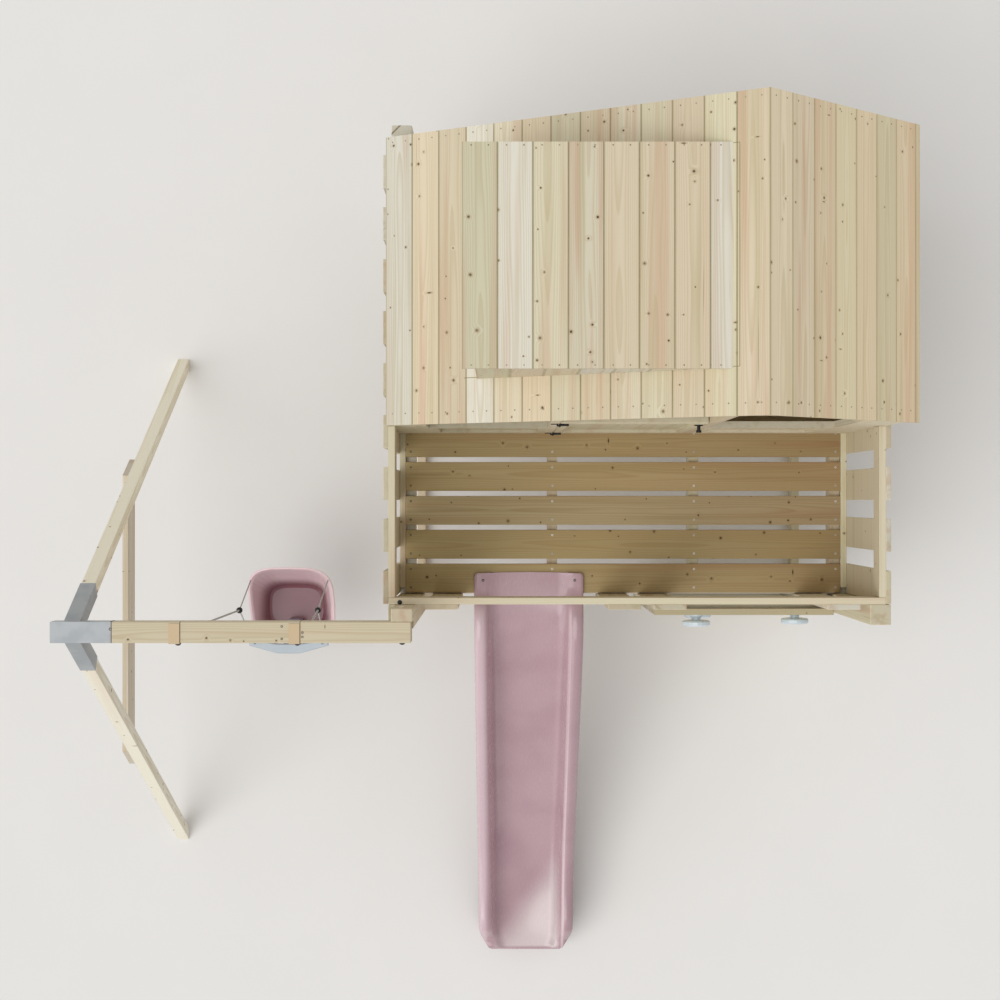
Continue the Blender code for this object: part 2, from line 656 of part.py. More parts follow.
def dormer():
    """Level boarded roof on two cheeks and a front wall with a window."""
    front_y, back_y = DORMER_Y
    low_x, high_x = DORMER_LOW_X, slope_x(DORMER_TOP - GAP)
    start, end = Vector((low_x, DORMER_TOP)), Vector((high_x, DORMER_TOP))
    upper = grooved_outline(start, end)[0]
    outline = [tuple(point) for point in upper]
    lower_z = DORMER_TOP - CLADDING
    outline += [(slope_x(lower_z - GAP), lower_z), (low_x, lower_z)]
    mesh = prism_mesh("dormer_roof", outline, "Y", front_y - DORMER_PROUD, back_y + DORMER_PROUD)
    link("dormer_roof", mesh, pine())
    wall_x = low_x + DORMER_OVERHANG
    under = lower_z - GAP
    meet_x = slope_x(under - GAP)
    cheek = [(wall_x, roof_top(wall_x) + GAP), (meet_x, under), (wall_x, under)]
    mesh = prism_mesh("dormer_walls", cheek, "Y", front_y, front_y + CLADDING)
    walls = link("dormer_walls", mesh, pine())
    add_body(walls, prism_mesh("cheek", cheek, "Y", back_y - CLADDING, back_y))
    face_x = wall_x + SINK
    face = prism_mesh("face", [(face_x, roof_top(face_x) + GAP),
                               (wall_x + CLADDING, roof_top(wall_x + CLADDING) + GAP),
                               (wall_x + CLADDING, under - SINK), (face_x, under - SINK)],
                      "Y", front_y + SINK, back_y - SINK)
    join(walls, face)
    width, height = DORMER_WINDOW
    middle_y = (front_y + back_y) / 2
    bottom = under - height - WINDOW_DROP
    cut(walls, box_mesh("window", (wall_x - PAST, middle_y - width / 2, bottom),
                        (wall_x + CLADDING + PAST, middle_y + width / 2, bottom + height)))


def climbing_wall():
    """Boards on two uprights, flush with the posts, with spool-shaped holds bolted on."""
    low_x, high_x = WALL_X
    thick_back = WALL_FRONT + BOARD
    boards = round(WALL_TOP / WALL_BOARD)
    step = WALL_TOP / boards
    profile = [(thick_back, 0.0), (thick_back, WALL_TOP), (WALL_FRONT, WALL_TOP)]
    for joint in range(boards - 1, 0, -1):
        z = step * joint
        profile += [(WALL_FRONT, z + V_HALF), (WALL_FRONT + V_DEPTH, z), (WALL_FRONT, z - V_HALF)]
    profile.append((WALL_FRONT, 0.0))
    wall = link("climbing_wall", prism_mesh("climbing_wall", profile, "X", low_x, high_x), pine())
    for x in (low_x, high_x - JOIST_WIDTH):
        join(wall, box_mesh("upright", (x + SINK, thick_back - SINK, 0.0),
                            (x + JOIST_WIDTH - 2 * SINK, -SLAT - GAP, WALL_TOP - UPRIGHT_SHORT)))
    for index, (x, z) in enumerate(HOLDS):
        place = Vector((low_x + x, WALL_FRONT - GAP, WALL_TOP - z))
        mesh = turned_mesh("hold", HOLD_PROFILE, place, Vector((0, -1, 0)), 20)
        smooth(link(f"climbing_hold_{index + 1}", mesh, pale_blue()))


def turned_mesh(name, profile, base, axis, sides):
    """A turned piece: radii and heights along an axis, closed at both ends."""
    turn = axis.to_track_quat("Z", "Y").to_matrix()
    bm = bmesh.new()
    loops = []
    for radius, height in profile:
        ring = []
        for step in range(sides):
            angle = 2 * math.pi * step / sides
            place = Vector((radius * math.cos(angle), radius * math.sin(angle), height))
            ring.append(bm.verts.new(base + turn @ place))
        loops.append(ring)
    for lower, upper in zip(loops, loops[1:]):
        bmesh.ops.bridge_loops(bm, edges=loop_edges(bm, lower) + loop_edges(bm, upper))
    bm.faces.new(loops[0])
    bm.faces.new(loops[-1])
    return mesh_from(name, bm)


def slide_path():
    """Stations of the slide's bed: place in (Y, Z), angle, and how far along the run it is."""
    bed = DECK_TOP + SLIDE_SHEET / 2 + GAP
    drop = bed - SLIDE_RUN_OUT
    top_end = SLIDE_TOP_END
    curve = SLIDE_TOP_RADIUS
    reach = top_end - SLIDE_FRONT - SLIDE_LEVEL
    sine, cosine = math.sin(SLIDE_ANGLE), math.cos(SLIDE_ANGLE)
    # The lower arc takes what the straight run leaves over, so the bed ends level at its length
    lower = (reach * sine - drop * cosine) / (1 - cosine) - curve
    straight = (drop - (curve + lower) * (1 - cosine)) / sine
    stations = [(Vector((SLIDE_FLANGE - SLIDE_CORNER * share, bed)), 0.0) for share in (0.0, 0.1, 0.4, 1.0)]
    stations += [(Vector((SLIDE_FLANGE / 2, bed)), 0.0), (Vector((0.0, bed)), 0.0)]
    for step in range(6):
        angle = SLIDE_ANGLE * step / 5
        place = Vector((top_end - curve * math.sin(angle), bed - curve * (1 - math.cos(angle))))
        stations.append((place, angle))
    start = stations[-1][0].copy()
    for step in range(1, 4):
        along = straight * step / 4
        stations.append((start + Vector((-cosine, -sine)) * along, SLIDE_ANGLE))
    start = start + Vector((-cosine, -sine)) * straight
    for step in range(9):
        angle = SLIDE_ANGLE * (1 - step / 8)
        stations.append((start + Vector((-lower * (sine - math.sin(angle)),
                                         -lower * (math.cos(angle) - cosine))), angle))
    end = stations[-1][0]
    for share in (0.20, 0.38, 0.54, 0.68, 0.80, 0.90, 1.00):
        stations.append((end + (Vector((SLIDE_FRONT, end.y)) - end) * share, 0.0))
    return stations


def slide_section(share, ends):
    """Half of the trough's profile: distance from the middle and height above the bed."""
    wall = SLIDE_WALL * ends
    half = SLIDE_WIDTH / 2 * (1 - SLIDE_NARROWS * share)
    bed = BED_HALF * (1 - BED_NARROWS * share)
    points = [(0.0, 0.0), (bed * 0.75, 0.001)]
    points += [(bed + beyond, wall * height) for beyond, height in BED_EDGE]
    points += [(half + beyond, wall * height) for beyond, height in SLIDE_EDGE]
    return points + [(half + 0.002, wall - SLIDE_SKIRT)]


def slide():
    """Moulded trough with rolled rims, from its flange on the deck to the run-out that ends in a foot."""
    stations = slide_path()
    lengths = [0.0]
    for (here, _), (there, _) in zip(stations, stations[1:]):
        lengths.append(lengths[-1] + (there - here).length)
    total = lengths[-1]
    bm = bmesh.new()
    rows = []
    ground = 0.001
    flange = DECK_TOP + SLIDE_SHEET / 2 + GAP
    for (place, angle), length in zip(stations, lengths):
        rise = min(1.0, max(0.03, (length - SLIDE_RISE[0]) / SLIDE_RISE[1]))
        fall = min(1.0, max(0.10, (total - length - SLIDE_FALL[0]) / SLIDE_FALL[1]))
        half = slide_section(length / total, min(rise, fall) ** 0.7)
        nose = max(0.0, (length - total + SLIDE_NOSE) / SLIDE_NOSE)
        corner = max(0.0, 1 - length / SLIDE_CORNER)
        inset = SLIDE_CORNER * (1 - math.sqrt(1 - corner ** 2)) / (SLIDE_WIDTH / 2)
        narrow = 1 - SLIDE_NOSE_NARROWS * nose ** 2.4 - inset
        normal = Vector((-math.sin(angle), math.cos(angle)))
        foot = max(0.0, (length / total - 0.62) / 0.38)
        row = []
        for u, v in [(-u, v) for u, v in reversed(half[1:])] + half:
            point = place + normal * v
            if abs(u) == half[-1][0]:
                point.y = point.y + (ground - point.y) * foot ** 1.5
                point.x = place.x + (point.x - place.x) * (1 - foot)
            if place.x > SLIDE_TOP_END - GAP:
                point.y = max(point.y, flange)
            row.append(bm.verts.new((SLIDE_CENTRE + u * narrow, point.x, max(point.y, ground))))
        rows.append(row)
    # The front of the run-out rounds over and drops to the ground, narrower at each step
    last = [vert.co.copy() for vert in rows[-1]]
    for forward, height, narrow in ((0.010, 0.98, 0.965), (0.017, 0.90, 0.93), (0.020, 0.0, 0.915)):
        row = []
        for place in last:
            level = ground + (min(place.z, SLIDE_RUN_OUT) - ground) * height
            x = SLIDE_CENTRE + (place.x - SLIDE_CENTRE) * narrow
            row.append(bm.verts.new((x, place.y - forward, level)))
        rows.append(row)
    for upper, lower in zip(rows, rows[1:]):
        for index in range(len(upper) - 1):
            bm.faces.new((upper[index], lower[index], lower[index + 1], upper[index + 1]))
    bmesh.ops.remove_doubles(bm, verts=bm.verts, dist=1e-5)
    mesh = mesh_from("slide", bm)
    body = link("slide", mesh, pink(), 40)
    shell = body.modifiers.new("shell", "SOLIDIFY")
    shell.thickness = SLIDE_SHEET
    shell.offset = 0.0
    shell.use_even_offset = True


def leg_point(side, distance, offset=0.0):
    """Place in (Y, Z) on a leg's middle line, measured from the beam's middle."""
    direction = Vector((side * math.cos(LEG_ANGLE), -math.sin(LEG_ANGLE)))
    across = Vector((direction.y, -direction.x))
    return Vector((beam_y, beam_axis_z)) + direction * distance + across * offset


def leg_prism(name, side, start, end, half, x_half, level_end=False):
    """A square bar along a leg's line, cut level at the ground where asked."""
    outline = [leg_point(side, start, -half), leg_point(side, start, half)]
    for offset in (half, -half):
        if level_end:
            place = leg_point(side, 0.0, offset)
            outline.append(leg_point(side, place.y / math.sin(LEG_ANGLE), offset))
        else:
            outline.append(leg_point(side, end, offset))
    return lean(prism_mesh(name, [tuple(point) for point in outline], "X", LEG_X - x_half, LEG_X + x_half))


def lean(mesh):
    """Lean a mesh of the leg frame towards the tower, more with each metre below the beam."""
    for vertex in mesh.vertices:
        vertex.co.x += (beam_axis_z - vertex.co.z) * LEG_LEAN
    return mesh


def swing_frame():
    """Beam, sheet steel bracket, two legs and their spreader."""
    # The beam's end is planed down to a tenon, so that the bracket round it is flush
    shoulder = BEAM_LEFT_X - SHEET + BRACKET_LENGTH + GAP
    beam = timber("swing_beam", (shoulder, beam_front, beam_bottom), (BEAM_END_X, beam_back, BEAM_TOP),
                  POST_EASE)
    half = tenon / 2
    join(beam, box_mesh("tenon", (BEAM_LEFT_X + GAP, beam_y - half, beam_axis_z - half),
                        (shoulder + PAST, beam_y + half, beam_axis_z + half)))
    join(beam, cap_mesh("cap", (LEFT_POST_X + POST / 2, beam_front + SINK, beam_axis_z), -1))
    half = LEG / 2
    for name, side in (("leg_back", 1), ("leg_front", -1)):
        link(name, leg_prism(name, side, LEG_START, 0, half, half, True), pine())
    outer = SHEET + 2 * GAP
    sleeve = tenon / 2 + GAP
    shell = sleeve + SHEET
    mesh = box_mesh("beam_bracket", (BEAM_LEFT_X - SHEET, beam_y - shell, beam_axis_z - shell),
                    (BEAM_LEFT_X - SHEET + BRACKET_LENGTH, beam_y + shell, beam_axis_z + shell))
    bracket = link("beam_bracket", mesh, steel())
    for side in (1, -1):
        join(bracket, leg_prism("socket", side, SOCKET_START, SOCKET_END, half + outer, half + outer))
    cut(bracket, box_mesh("sleeve", (BEAM_LEFT_X, beam_y - sleeve, beam_axis_z - sleeve),
                          (BEAM_LEFT_X + BRACKET_LENGTH + PAST, beam_y + sleeve, beam_axis_z + sleeve)))
    for side in (1, -1):
        cut(bracket, leg_prism("bore", side, LEG_START - GAP, SOCKET_END + PAST, half + GAP, half + GAP))
    # The board across the legs is cut off along their outer sides
    outline = []
    for side, heights in ((-1, (SPREADER_LOW, SPREADER_HIGH)), (1, (SPREADER_HIGH, SPREADER_LOW))):
        for height in heights:
            reach = (beam_axis_z - height) / math.tan(LEG_ANGLE) + half / math.sin(LEG_ANGLE)
            outline.append((beam_y + side * reach, height))
    x = LEG_X - half - GAP
    link("leg_spreader", lean(prism_mesh("leg_spreader", outline, "X", x - SPREADER, x)), pine())


def loop_points(centre, half_width, top, bottom, corner):
    """A closed upright loop with round corners, in the XZ plane."""
    points = []
    across, high, low = half_width - corner, top - corner, bottom + corner
    for x, z, turn in ((across, high, 0), (-across, high, 90), (-across, low, 180), (across, low, 270)):
        for step in range(4):
            angle = math.radians(turn + 30 * step)
            points.append((centre.x + x + corner * math.cos(angle), centre.y, z + corner * math.sin(angle)))
    return points


def hanger(name, x):
    """Band over the beam, bolt cap, plate under the beam and the eye that the hook hangs in."""
    band_x = x - BAND_SHIFT
    low, high = band_x - BAND_WIDTH / 2, band_x + BAND_WIDTH / 2
    front = beam_front - GAP
    outer = front - SHEET
    inner = beam_back - BAND_SHORT
    top = BEAM_TOP + GAP
    plate_top = beam_bottom - GAP
    body = link(name, box_mesh(name, (low, outer, top), (high, inner, top + SHEET)), black_steel())
    join(body, box_mesh("tongue", (low + SINK, outer + SINK, plate_top - SHEET + SINK),
                        (high - SINK, front, BEAM_TOP + 2 * SINK)))
    join(body, cap_mesh("cap", (band_x + CAP_SHIFT, outer + SINK, beam_axis_z), -1))
    join(body, box_mesh("plate", (low, outer, plate_top - SHEET), (x + PLATE_END, inner, plate_top)))
    ring = []
    for step in range(16):
        angle = 2 * math.pi * step / 16
        ring.append((x, beam_y + EYE_RADIUS * math.cos(angle), eye_z - seated + EYE_RADIUS * math.sin(angle)))
    join(body, tube_mesh("eye", ring, WIRE, 1, True))
    smooth(body)


def swing_ropes():
    """Hook, rope and ball on each side, with the two strands that part at the ball."""
    for name, side in (("left", -1), ("right", 1)):
        x = SEAT_X + side * HANGER_HALF
        centre = Vector((x, beam_y, 0))
        hook_top = hook_z - seated
        points = loop_points(centre, HOOK_HALF, hook_top, hook_top - HOOK_HEIGHT, HOOK_CORNER)
        hook = link(f"hook_{name}", tube_mesh("hook", points, WIRE, 1, True), black_steel())
        smooth(hook, 60)
        ball = Vector((SEAT_X + side * BALL.x, BALL.y, BALL.z))
        top = Vector((x, beam_y, hook_top - HOOK_HEIGHT - WIRE - GAP))
        rope = link(f"rope_{name}", cylinder_mesh("rope", top, ball, ROPE, 10), cord())
        bar = Vector((SEAT_X + side * BAR_EYE.x, BAR_EYE.y, BAR_EYE.z))
        bend = ball + (bar - ball) * FRONT_BEND
        for start, end in ((ball, seat_corner(side, 1)), (ball, bend), (bend, seat_corner(side, -1))):
            join(rope, cylinder_mesh("strand", start, end, STRAND, 10))
        knee = bmesh.new()
        # The ball at the bend is a little thicker than the strands, so that it covers their ends
        bmesh.ops.create_icosphere(knee, subdivisions=2, radius=STRAND * 1.03,
                                   matrix=Matrix.Translation(bend))
        join(rope, mesh_from("knee", knee))
        sphere = bmesh.new()
        bmesh.ops.create_uvsphere(sphere, u_segments=16, v_segments=10, radius=BALL_RADIUS,
                                  matrix=Matrix.Translation(ball))
        join(rope, mesh_from("ball", sphere))
        smooth(rope)


def seat_corner(side, end):
    """Where a strand meets the seat's rim, at a rear (1) or front (-1) corner."""
    corner = seat_ring(SEAT_RIM)[end * SEAT_CORNER]
    return Vector((SEAT_X + side * abs(corner.x - SEAT_X), corner.y, corner.z + SEAT_SHEET / 2 + 0.002))


def seat_ring(level):
    """One level of the seat shell, from the floor's middle (0) to the rim (1)."""
    wide, long, rise = level
    ring = []
    for step in range(SEAT_SIDES):
        angle = 2 * math.pi * step / SEAT_SIDES
        u = math.copysign(abs(math.cos(angle)) ** SEAT_SQUARENESS, math.cos(angle))
        v = math.copysign(abs(math.sin(angle)) ** SEAT_SQUARENESS, math.sin(angle))
        back = 0.5 + 0.5 * v
        rim = SEAT_FRONT_TOP + (SEAT_BACK_TOP - SEAT_FRONT_TOP) * back ** SEAT_BACK_CURVE
        height = SEAT_BOTTOM + SEAT_SHEET / 2 + (rim - SEAT_BOTTOM) * rise
        back_shift = SEAT_LEAN * rise * back - SEAT_FLOOR_SHIFT * (1 - rise)
        y = seat_middle + SEAT_LENGTH / 2 * long * v + back_shift
        ring.append(Vector((SEAT_X + SEAT_HALF * wide * u, y, height)))
    return ring


def seat():
    """Moulded toddler seat: a bucket with a high back, a low front and a rolled rim."""
    bm = bmesh.new()
    loops = [[bm.verts.new(point) for point in seat_ring(level)] for level in SEAT_RINGS]
    bm.faces.new(loops[0])
    for lower, upper in zip(loops, loops[1:]):
        for index in range(len(lower)):
            after = (index + 1) % len(lower)
            bm.faces.new((lower[index], lower[after], upper[after], upper[index]))
    body = link("swing_seat", mesh_from("swing_seat", bm), pink(), 40)
    shell = body.modifiers.new("shell", "SOLIDIFY")
    shell.thickness = SEAT_SHEET
    shell.offset = 0.0
    shell.use_even_offset = True


def seat_bar():
    """Curved bar across the seat's front with an eye at each end and a stem between the legs."""
    bar_y = BAR_EYE.y
    half = BAR_HALF + BAR_END
    bm = bmesh.new()
    front, back = [], []
    for share in BAR_STATIONS:
        swell = min(1.0, (1 - abs(share)) / (1 - BAR_FLAT))
        front.append((SEAT_X + half * share, bar_y - BAR_DEPTH - BAR_SWELL[0] * swell))
        back.append((SEAT_X + half * share, bar_y + BAR_DEPTH - BAR_SWELL[1] * swell))
    outline = front + list(reversed(back))
    low = [bm.verts.new((x, y, BAR_Z - BAR_HEIGHT / 2)) for x, y in outline]
    face = bm.faces.new(low)
    grown = bmesh.ops.extrude_face_region(bm, geom=[face])
    moved = [item for item in grown["geom"] if isinstance(item, bmesh.types.BMVert)]
    bmesh.ops.translate(bm, verts=moved, vec=Vector((0, 0, BAR_HEIGHT)))
    rim = [edge for edge in bm.edges if abs(edge.verts[0].co.z - edge.verts[1].co.z) < 1e-6]
    bmesh.ops.bevel(bm, geom=rim, offset=0.004, segments=1, affect="EDGES")
    body = link("seat_bar", mesh_from("seat_bar", bm), pale_blue())
    # The stem leans back from the bar and stands on the seat's floor
    foot_y = seat_middle - SEAT_LENGTH / 2 * STEM_PLACE
    foot_z = SEAT_BOTTOM + SEAT_SHEET + 2 * GAP
    head_y = bar_y - 0.030
    knee_z = SEAT_FRONT_TOP + 0.01
    profile = [(head_y, BAR_Z), (head_y + STEM, BAR_Z), (foot_y + STEM, knee_z),
               (foot_y + STEM, foot_z), (foot_y, foot_z), (foot_y, knee_z)]
    join(body, prism_mesh("stem", profile, "X", SEAT_X - STEM_HALF, SEAT_X + STEM_HALF))
    for side in (-1, 1):
        ball = Vector((SEAT_X + side * BALL.x, BALL.y, BALL.z))
        eye = Vector((SEAT_X + side * BAR_EYE.x, BAR_EYE.y, BAR_EYE.z))
        run = (ball - eye).normalized() * 0.06
        cut(body, cylinder_mesh("hole", eye - run, eye + run, STRAND + ROPE_HOLE_PLAY, 14))
    smooth(body)


def turn_about(place, names):
    """Give moving pieces their origin on their joint's axis, with their shape where it was."""
    for name in names:
        body = bpy.data.objects[name]
        body.data.transform(Matrix.Translation(-place))
        body.location = place


def centre_on_origin():
    """Move the tower so that the middle of its footprint on the ground is at the origin."""
    bpy.context.view_layer.update()
    graph = bpy.context.evaluated_depsgraph_get()
    corners = []
    for obj in bpy.context.scene.objects:
        if obj.type == "MESH":
            corners += [obj.matrix_world @ Vector(corner) for corner in obj.evaluated_get(graph).bound_box]
    middle_x = (min(corner.x for corner in corners) + max(corner.x for corner in corners)) / 2
    middle_y = (min(corner.y for corner in corners) + max(corner.y for corner in corners)) / 2
    root.location = (-middle_x, -middle_y, 0)
    bpy.context.view_layer.update()
    print("tower moved by", round(-middle_x, 5), round(-middle_y, 5))


for old in list(bpy.data.objects):
    bpy.data.objects.remove(old)
root = bpy.data.objects.new("play_tower", None)
bpy.context.scene.collection.objects.link(root)

posts()
ground_sills()
deck()
railings()
house_walls()
house_front()
door()
roof()
dormer()
climbing_wall()
slide()
swing_frame()
hanger("hanger_left", SEAT_X - HANGER_HALF)
hanger("hanger_right", SEAT_X + HANGER_HALF)
swing_ropes()
seat()
seat_bar()
pivot = Vector((SEAT_X, beam_y, hook_z - seated))
turn_about(pivot, ("hook_left", "hook_right", "rope_left", "rope_right", "swing_seat"))
turn_about(Vector((SEAT_X, BAR_EYE.y, BAR_EYE.z)), ("seat_bar",))
turn_about(Vector((hinge_x, hinge_y, DECK_TOP)), ("door",))
centre_on_origin()
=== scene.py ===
import bmesh
import bpy
import math
from mathutils import Matrix, Vector


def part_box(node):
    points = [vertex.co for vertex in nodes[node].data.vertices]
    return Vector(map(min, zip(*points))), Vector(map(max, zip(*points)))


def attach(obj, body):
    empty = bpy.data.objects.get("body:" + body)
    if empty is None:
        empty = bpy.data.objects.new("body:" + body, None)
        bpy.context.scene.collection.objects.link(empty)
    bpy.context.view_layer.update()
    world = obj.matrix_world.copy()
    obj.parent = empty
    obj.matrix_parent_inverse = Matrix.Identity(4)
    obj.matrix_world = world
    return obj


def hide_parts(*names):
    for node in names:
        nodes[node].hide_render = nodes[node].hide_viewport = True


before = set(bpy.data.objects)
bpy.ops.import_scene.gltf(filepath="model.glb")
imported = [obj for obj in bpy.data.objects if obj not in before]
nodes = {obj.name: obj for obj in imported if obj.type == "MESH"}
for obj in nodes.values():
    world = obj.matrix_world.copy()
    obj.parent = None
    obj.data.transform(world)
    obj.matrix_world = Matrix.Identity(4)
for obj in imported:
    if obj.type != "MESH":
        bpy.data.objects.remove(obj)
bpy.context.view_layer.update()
scene = bpy.context.scene
toRight, toRear, toTop = Vector((1, 0, 0)), Vector((0, 1, 0)), Vector((0, 0, 1))
print("frame loaded,", len(nodes), "parts")


def sRgb(code):
    # hex colour as seen on a screen, turned to the linear colour that the shader wants
    parts = [int(code[i:i + 2], 16) / 255 for i in (1, 3, 5)]
    return [c / 12.92 if c <= 0.04045 else ((c + 0.055) / 1.055) ** 2.4 for c in parts] + [1.0]


def setSockets(tree, node, links):
    # gives each socket a value or a link from another node's output; a plain row fills the first sockets
    for socket, value in links.items() if isinstance(links, dict) else enumerate(links):
        if isinstance(value, bpy.types.NodeSocket):
            tree.links.new(value, node.inputs[socket])
        else:
            node.inputs[socket].default_value = value


def addNode(tree, kind, links=None, operation=None, out=0, **settings):
    # one node with its settings and links; gives back the output asked for, or the node itself
    node = tree.nodes.new(kind if kind.startswith("NodeGroup") else "ShaderNode" + kind)
    node.location = (190 * (len(tree.nodes) % 12), -260 * (len(tree.nodes) // 12))
    if operation:
        node.operation = operation
    for key, value in settings.items():
        setattr(node, key, value)
    setSockets(tree, node, links or {})
    return node if out is None else node.outputs[out]


softEdge = {"interpolation_type": "SMOOTHSTEP"}    # settings that many nodes share
rgbMix = {"out": 2, "data_type": "RGBA"}


def newMaterial(name):
    made = bpy.data.materials.new(name)
    made.use_nodes = True
    tree = made.node_tree
    tree.nodes.clear()
    shader = addNode(tree, "BsdfPrincipled", out=None)
    addNode(tree, "OutputMaterial", {"Surface": shader.outputs[0]}, out=None)
    return made, tree, shader


def dress(names, look):
    # give CAD parts their finish
    for name in names:
        nodes[name].data.materials.clear()
        nodes[name].data.materials.append(look)


def middleX(name):
    low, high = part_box(name)
    return (low.x + high.x) / 2


# planed pine: pale cream sapwood with pinkish heartwood streaks, dark round knots and faint yearly rings.
# An edge says where a mark starts (1), is full (2) and how strong it is there (4), by Map Range's sockets
pineLook = {
    "tints": ("#D9D0B8", "#D9CAAF", "#D2CCAF", "#DEDACB", "#D5C8AD", "#D8D0B5"),    # from board to board
    "heartwood": "#CBAB8F", "dusk": "#BCB28C", "latewood": "#B9A57E",
    "knotHeart": "#3A2917", "knotRim": "#A48A64", "jointDust": "#99906A", "pitch": "#8E7757",
    "shift": (0.31, 0.27, 9.0),    # two boards come from spots of the tree up to this far apart
    "brightness": (0.92, 0.14),    # the darkest board, and how much lighter others may be
    "ringSpacing": 0.0042,    # yearly rings, 4 mm apart
    "ringWobble": 0.014,
    "wobbles": (6.0, 6.0, 0.8),    # waves a metre: across, across and along the fibres
    "pithBelow": 0.060,    # the tree's heart lies this far below the board's face
    "ringEdge": {1: 0.30, 2: 0.92}, "ringEnd": {1: 1.0, 2: 0.94}, "ringShare": 0.36,
    "streakWidth": 0.040, "streaksAlong": 0.62,    # heartwood streaks, 40 mm across and 40 times as long
    "warmEdge": {1: 0.47, 2: 0.68}, "warmShare": (0.10, 0.70), "duskEdge": {1: 0.50, 2: 0.74, 4: 0.55},
    "pitchStreaks": (150.0, 150.0, 1.7), "pitchEdge": {1: 0.74, 2: 0.83, 4: 0.55},
    "fibre": 0.0016, "fibresAlong": 14.0,    # fibre bundles drawn 1.6 mm across, coarser so that they show
    "fibreEdge": {1: 0.5, 2: 0.8, 4: 0.12},
    "roundKnots": {"stretch": 1.0, "spacing": 0.100, "kept": 0.46, "small": 0.0028, "large": 0.0062},
    "spikeKnots": {"stretch": 0.28, "spacing": 0.30, "kept": 0.45, "small": 0.0018, "large": 0.0034},
    "fewLarge": 2.2, "noKnot": 0.00001,    # most knots are small; a size that shows nothing
    "ragged": 0.8, "raggedness": 300.0,    # a knot's edge is uneven, in waves of 3 mm
    "heartEdge": {1: 1.45, 2: 0.95}, "rimEdge": {1: 2.7, 2: 1.2},    # in radii of the knot
    "bulgeEdge": {1: 5.0, 2: 1.0},
    "heartShare": (0.58, 0.40), "rimShare": 0.55, "bulge": 0.005,
    "endEdge": {1: 0.75, 2: 0.95, 3: 1.0, 4: 0.84},  # ends are cut across the fibres and drink in light
    "jointEdge": {1: 0.0056, 2: 0.0024}, "jointShare": 0.55,    # dust and painted shade in a V joint, a line 8 mm wide
    "roughness": 0.51, "fibreRough": 0.14, "knotRough": -0.16, "knotProud": 1.5,
    "bump": 0.30, "bumpDepth": 0.0005, "ior": 1.45, "specular": 0.35,
}


